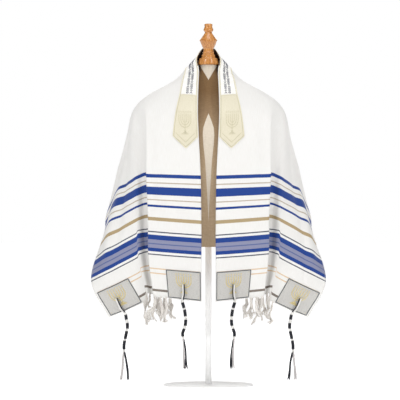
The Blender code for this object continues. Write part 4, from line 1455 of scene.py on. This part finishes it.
def make_cord(corner, side, sign, ring):
    """The cord from its hole to its last knot, the pieces below it, its path and its length."""
    name = "%s_%s" % (corner, side)
    line, run = cord_line(corner, sign)
    heights = -np.array(CORD_ROUTES[corner].windings) * MM
    windings = np.interp(heights, -line[:, 2], run)
    wound_from, wound_to = windings[0][0] - KNOT_LENGTH, windings[-1][1] + KNOT_LENGTH

    lead, lead_run = between(line, run, 0.0, wound_from + 0.004)
    outwards = 0.0 if sign > 0 else math.pi
    turns = [outwards + half + small for half in (0.0, math.pi) for small in (-LEAD_TURN, LEAD_TURN)]
    strands = [around(lead, lead_run, LEAD_REACH, turn) for turn in turns]
    core, _ = between(line, run, wound_from, wound_to)
    dark = [between(line, run, low, high)[0] for low, high in windings]
    gaps = [(wound_from, windings[0][0])] + [(a[1], b[0]) for a, b in zip(windings, windings[1:])]
    knots = [strand for low, high in gaps for strand in knot_strands(line, run, low, high, DOUBLE_KNOT)]
    cord = merged("tzitzit_" + name, [
        tube_object("lead_white_" + name, strands[:2], LEAD_WHITE, white_cord, sides=7),
        tube_object("lead_dark_" + name, strands[2:], LEAD_DARK, black_cord, sides=7),
        tube_object("core_" + name, [core], CORE_RADIUS, white_cord, sides=10),
        repeat_along("winding_" + name, dark, ring, black_cord, spacing=RING_SPACING),
        tube_object("knots_" + name, knots, DOUBLE_KNOT.radius, white_cord, sides=7),
    ])
    last = knot_strands(line, run, windings[-1][1], wound_to, END_KNOT)
    end_knot = tube_object("end_knot_" + name, last, END_KNOT.radius, white_cord, sides=7)
    loose = make_loose_ends(name, corner, line, run, wound_to, sign)
    path, _ = between(line, run, 0.0, wound_to)
    return cord, [end_knot] + loose, path, float(run_along(path)[-1])


one_ring = make_ring()
cords = {}
for side, sign in SIDES:
    for corner in CORNERS:
        cords[corner, side] = make_cord(corner, side, sign, one_ring)
bpy.data.objects.remove(one_ring)
print("cord lengths:", {key: round(value[3], 3) for key, value in cords.items()})

# %% [markdown]
# ## The dress form
# A limbless torso: linen pulled smooth over a hard shell, with the seams a maker cannot avoid, one
# down the middle of the front and back and one each side. It could be sculpted, but rings from the
# table above keep it in step with the cloth that hangs clear of it. The seams are shallow grooves.

# %% Form
FORM_RINGS, FORM_SEGMENTS = 110, 176
SEAM_TURNS = (0.0, 0.19, 0.5, 0.81)
SEAM_DEPTH = 0.0009
SEAM_WIDTH = 0.0022


def make_form():
    heights = np.linspace(form_low.z + 0.0004, form_high.z, FORM_RINGS)
    size = form_size(heights)
    turn = np.arange(FORM_SEGMENTS) * math.tau / FORM_SEGMENTS
    depth = np.where(np.sin(turn)[None, :] > 0, size[:, 2:3], size[:, 1:2])
    x = size[:, 0:1] * np.cos(turn)[None, :]
    y = depth * np.sin(turn)[None, :]
    # Seams: a little shorter radius near each seam's own turn, counted from the front.
    front_turn = (turn / math.tau + 0.25) % 1.0
    groove = np.zeros_like(turn)
    for seam in SEAM_TURNS:
        away = np.abs((front_turn - seam + 0.5) % 1.0 - 0.5) * math.tau * size[:, 0].mean()
        groove += np.exp(-(away / SEAM_WIDTH) ** 2)
    shrink = 1 - SEAM_DEPTH * groove[None, :] / np.hypot(x, y)
    z = np.broadcast_to(heights[:, None], x.shape)
    points = np.stack([x * shrink, y * shrink, z], axis=2).reshape(-1, 3)
    return mesh_object("linen_form", points, capped_faces(FORM_RINGS, FORM_SEGMENTS), [linen], sharp=50)


form = make_form()
print("form:", len(form.data.polygons), "faces")

# %% [markdown]
# ## Neck cap and stand
# Both are turned, as on a lathe: an outline is spun round the axis, by a loop that closes both ends,
# where a Screw modifier would leave them open. Soft corners come from a bevel, so the outline needs
# only the points where the tool changed direction.

# %% Turned pieces
CapRing = namedtuple("CapRing", "radius height")
CAP_PROFILE = (
    CapRing(33.6, 1069.0), CapRing(34.6, 1071.0), CapRing(34.2, 1076.0), CapRing(29.6, 1090.5),
    CapRing(23.6, 1092.5), CapRing(22.6, 1095.0), CapRing(22.6, 1101.5), CapRing(19.0, 1104.5),
    CapRing(18.4, 1107.5), CapRing(19.4, 1110.5), CapRing(17.2, 1114.0), CapRing(16.6, 1121.5),
    CapRing(18.0, 1124.0), CapRing(21.6, 1132.0), CapRing(26.2, 1143.0), CapRing(27.0, 1146.5),
    CapRing(29.2, 1149.0), CapRing(29.2, 1152.5), CapRing(25.0, 1157.0), CapRing(19.2, 1165.0),
    CapRing(12.6, 1174.5), CapRing(11.6, 1178.0), CapRing(14.6, 1180.5), CapRing(16.2, 1184.0),
    CapRing(16.0, 1188.0), CapRing(13.6, 1193.0), CapRing(12.6, 1198.0), CapRing(13.8, 1201.0),
    CapRing(13.2, 1204.5), CapRing(11.4, 1206.0),
)
CAP_CORNER = 0.0006
PLATE_CORNER = 0.003


def turned(name, profile, segments, material, bevel=0.0):
    """Spins (radius, height) pairs, bottom to top, and softens the corners."""
    turn = np.arange(segments) * math.tau / segments
    points = [(r * math.cos(t), r * math.sin(t), z) for r, z in profile for t in turn]
    piece = mesh_object(name, points, capped_faces(len(profile), segments), [material], sharp=40)
    if bevel:
        soften = piece.modifiers.new("soft_corners", "BEVEL")
        soften.width = bevel
        soften.segments = 3
        soften.limit_method = "ANGLE"
        soften.angle_limit = math.radians(25)
        soften.harden_normals = False
    return piece


def upright(node):
    """The outline of a plain round solid, from its box in the frame."""
    low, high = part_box(node)
    return [(high.x, low.z), (high.x, high.z)]


cap_outline = [(ring.radius * MM, ring.height * MM) for ring in CAP_PROFILE]
neck_cap = turned("turned_neck_cap", cap_outline, 72, beech, CAP_CORNER)
foot_plate = turned("foot_plate", upright("stand_base"), 128, powder_coat, PLATE_CORNER)
post = turned("stand_tube", upright("stand_post"), 48, powder_coat)
print("turned:", neck_cap.name, foot_plate.name, post.name)

# %% [markdown]
# ## Floor and light
# A plain white floor, and a studio's usual light for cloth on a form: one small lamp high on each
# side, so that the shawl's two front edges throw a clear shadow on the linen between them. A broad
# lamp overhead and one behind fill the shoulders and the back, and a white surround does the rest.

# %% Studio
FLOOR_HALF = 30.0
FLOOR_GLOW = 0.78
KEY_TURN = math.radians(41)
KEY_DISTANCE = 4.4
KEY_HEIGHT = 3.50
KEY_SPOTS = [(sign * KEY_DISTANCE * math.sin(KEY_TURN), -KEY_DISTANCE * math.cos(KEY_TURN), KEY_HEIGHT)
             for _, sign in SIDES]
Lamp = namedtuple("Lamp", "name place aim_height size power")
LAMPS = (
    Lamp("key_left", KEY_SPOTS[0], 0.75, 0.35, 44),
    Lamp("key_right", KEY_SPOTS[1], 0.75, 0.35, 44),
    Lamp("top_fill", (0, -1.2, 3.8), 0.9, 2.2, 58),
    Lamp("back_fill", (0, 3.6, 2.6), 0.8, 2.5, 45),
)
SURROUND_LIGHT = 0.28
SURROUND_SEEN = 1.0


def hang_lamp(lamp):
    data = bpy.data.lights.new(lamp.name, "AREA")
    data.shape, data.size, data.energy = "DISK", lamp.size, lamp.power
    piece = link(bpy.data.objects.new(lamp.name, data))
    piece.location = lamp.place
    aim = Vector((0, 0, lamp.aim_height)) - piece.location
    piece.rotation_euler = aim.to_track_quat("-Z", "Y").to_euler()


def make_floor():
    material, tree, shader = new_material("white_floor", Roughness=0.9, Emission_Color=linear("#FFFFFF"),
                                          Emission_Strength=FLOOR_GLOW)
    place = add(tree, "ShaderNodeTexCoord", take="Object")
    cloud = add(tree, "ShaderNodeTexNoise", {"Vector": place, "Scale": 3.0})
    base = add(tree, "ShaderNodeValToRGB", (cloud,), stops=((0.3, "#FAFAFA"), (0.7, "#FDFDFD")))
    tree.links.new(base, shader.inputs["Base Color"])
    corners = [(x * FLOOR_HALF, y * FLOOR_HALF, 0) for x, y in ((-1, -1), (1, -1), (1, 1), (-1, 1))]
    return mesh_object("floor", corners, [(0, 1, 2, 3)], [material])


def make_surround():
    """Plain white where it is seen, and a dimmer white as light."""
    world = bpy.data.worlds.new("white_surround")
    world.use_nodes = True
    background = world.node_tree.nodes["Background"]
    background.inputs["Color"].default_value = linear("#FFFFFF")
    seen = add(world.node_tree, "ShaderNodeLightPath", take="Is Camera Ray")
    level = add(world.node_tree, "ShaderNodeMapRange", {"Value": seen, "To Min": SURROUND_LIGHT,
                                                        "To Max": SURROUND_SEEN})
    world.node_tree.links.new(level, background.inputs["Strength"])
    return world


make_floor()
for lamp in LAMPS:
    hang_lamp(lamp)
bpy.context.scene.world = make_surround()
bpy.context.scene.view_settings.view_transform = "Standard"
print("lamps:", len(LAMPS))

# %% [markdown]
# ## What stands for what
# Each finished piece rides on the one rigid body, and a piece that stands for a plain solid of the frame
# hides that solid.

# %% Hand the pieces to the frame
def place(piece, slot, *nodes):
    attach(piece, "root")
    if nodes:
        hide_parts(*nodes)


place(shawl, "shawl", "shawl_cloth")
place(neck_band, "band", "atarah_neck_band")
place(form, "form", "dress_form")
place(neck_cap, "wood", "neck_cap")
place(foot_plate, "stand", "stand_base")
place(post, "stand", "stand_post")
for side, sign in SIDES:
    place(band_ends[side], "satin", "atarah_end_" + side)
    place(fringes[side], "fringe", "fringe_" + side)
    for corner in CORNERS:
        place(patches[corner, side], "patch", "corner_patch_%s_%s" % (corner, side))
for piece in embroidery:
    place(piece, "patch" if "border" in piece.name or piece.name.startswith("lampstand") else "band")
for piece in stitching:
    place(piece, "shawl")
for (corner, side), (cord, extras, path, length) in cords.items():
    place(cord, "cord", "tzitzit_%s_%s" % (corner, side))
    for piece in extras:
        place(piece, "cord")
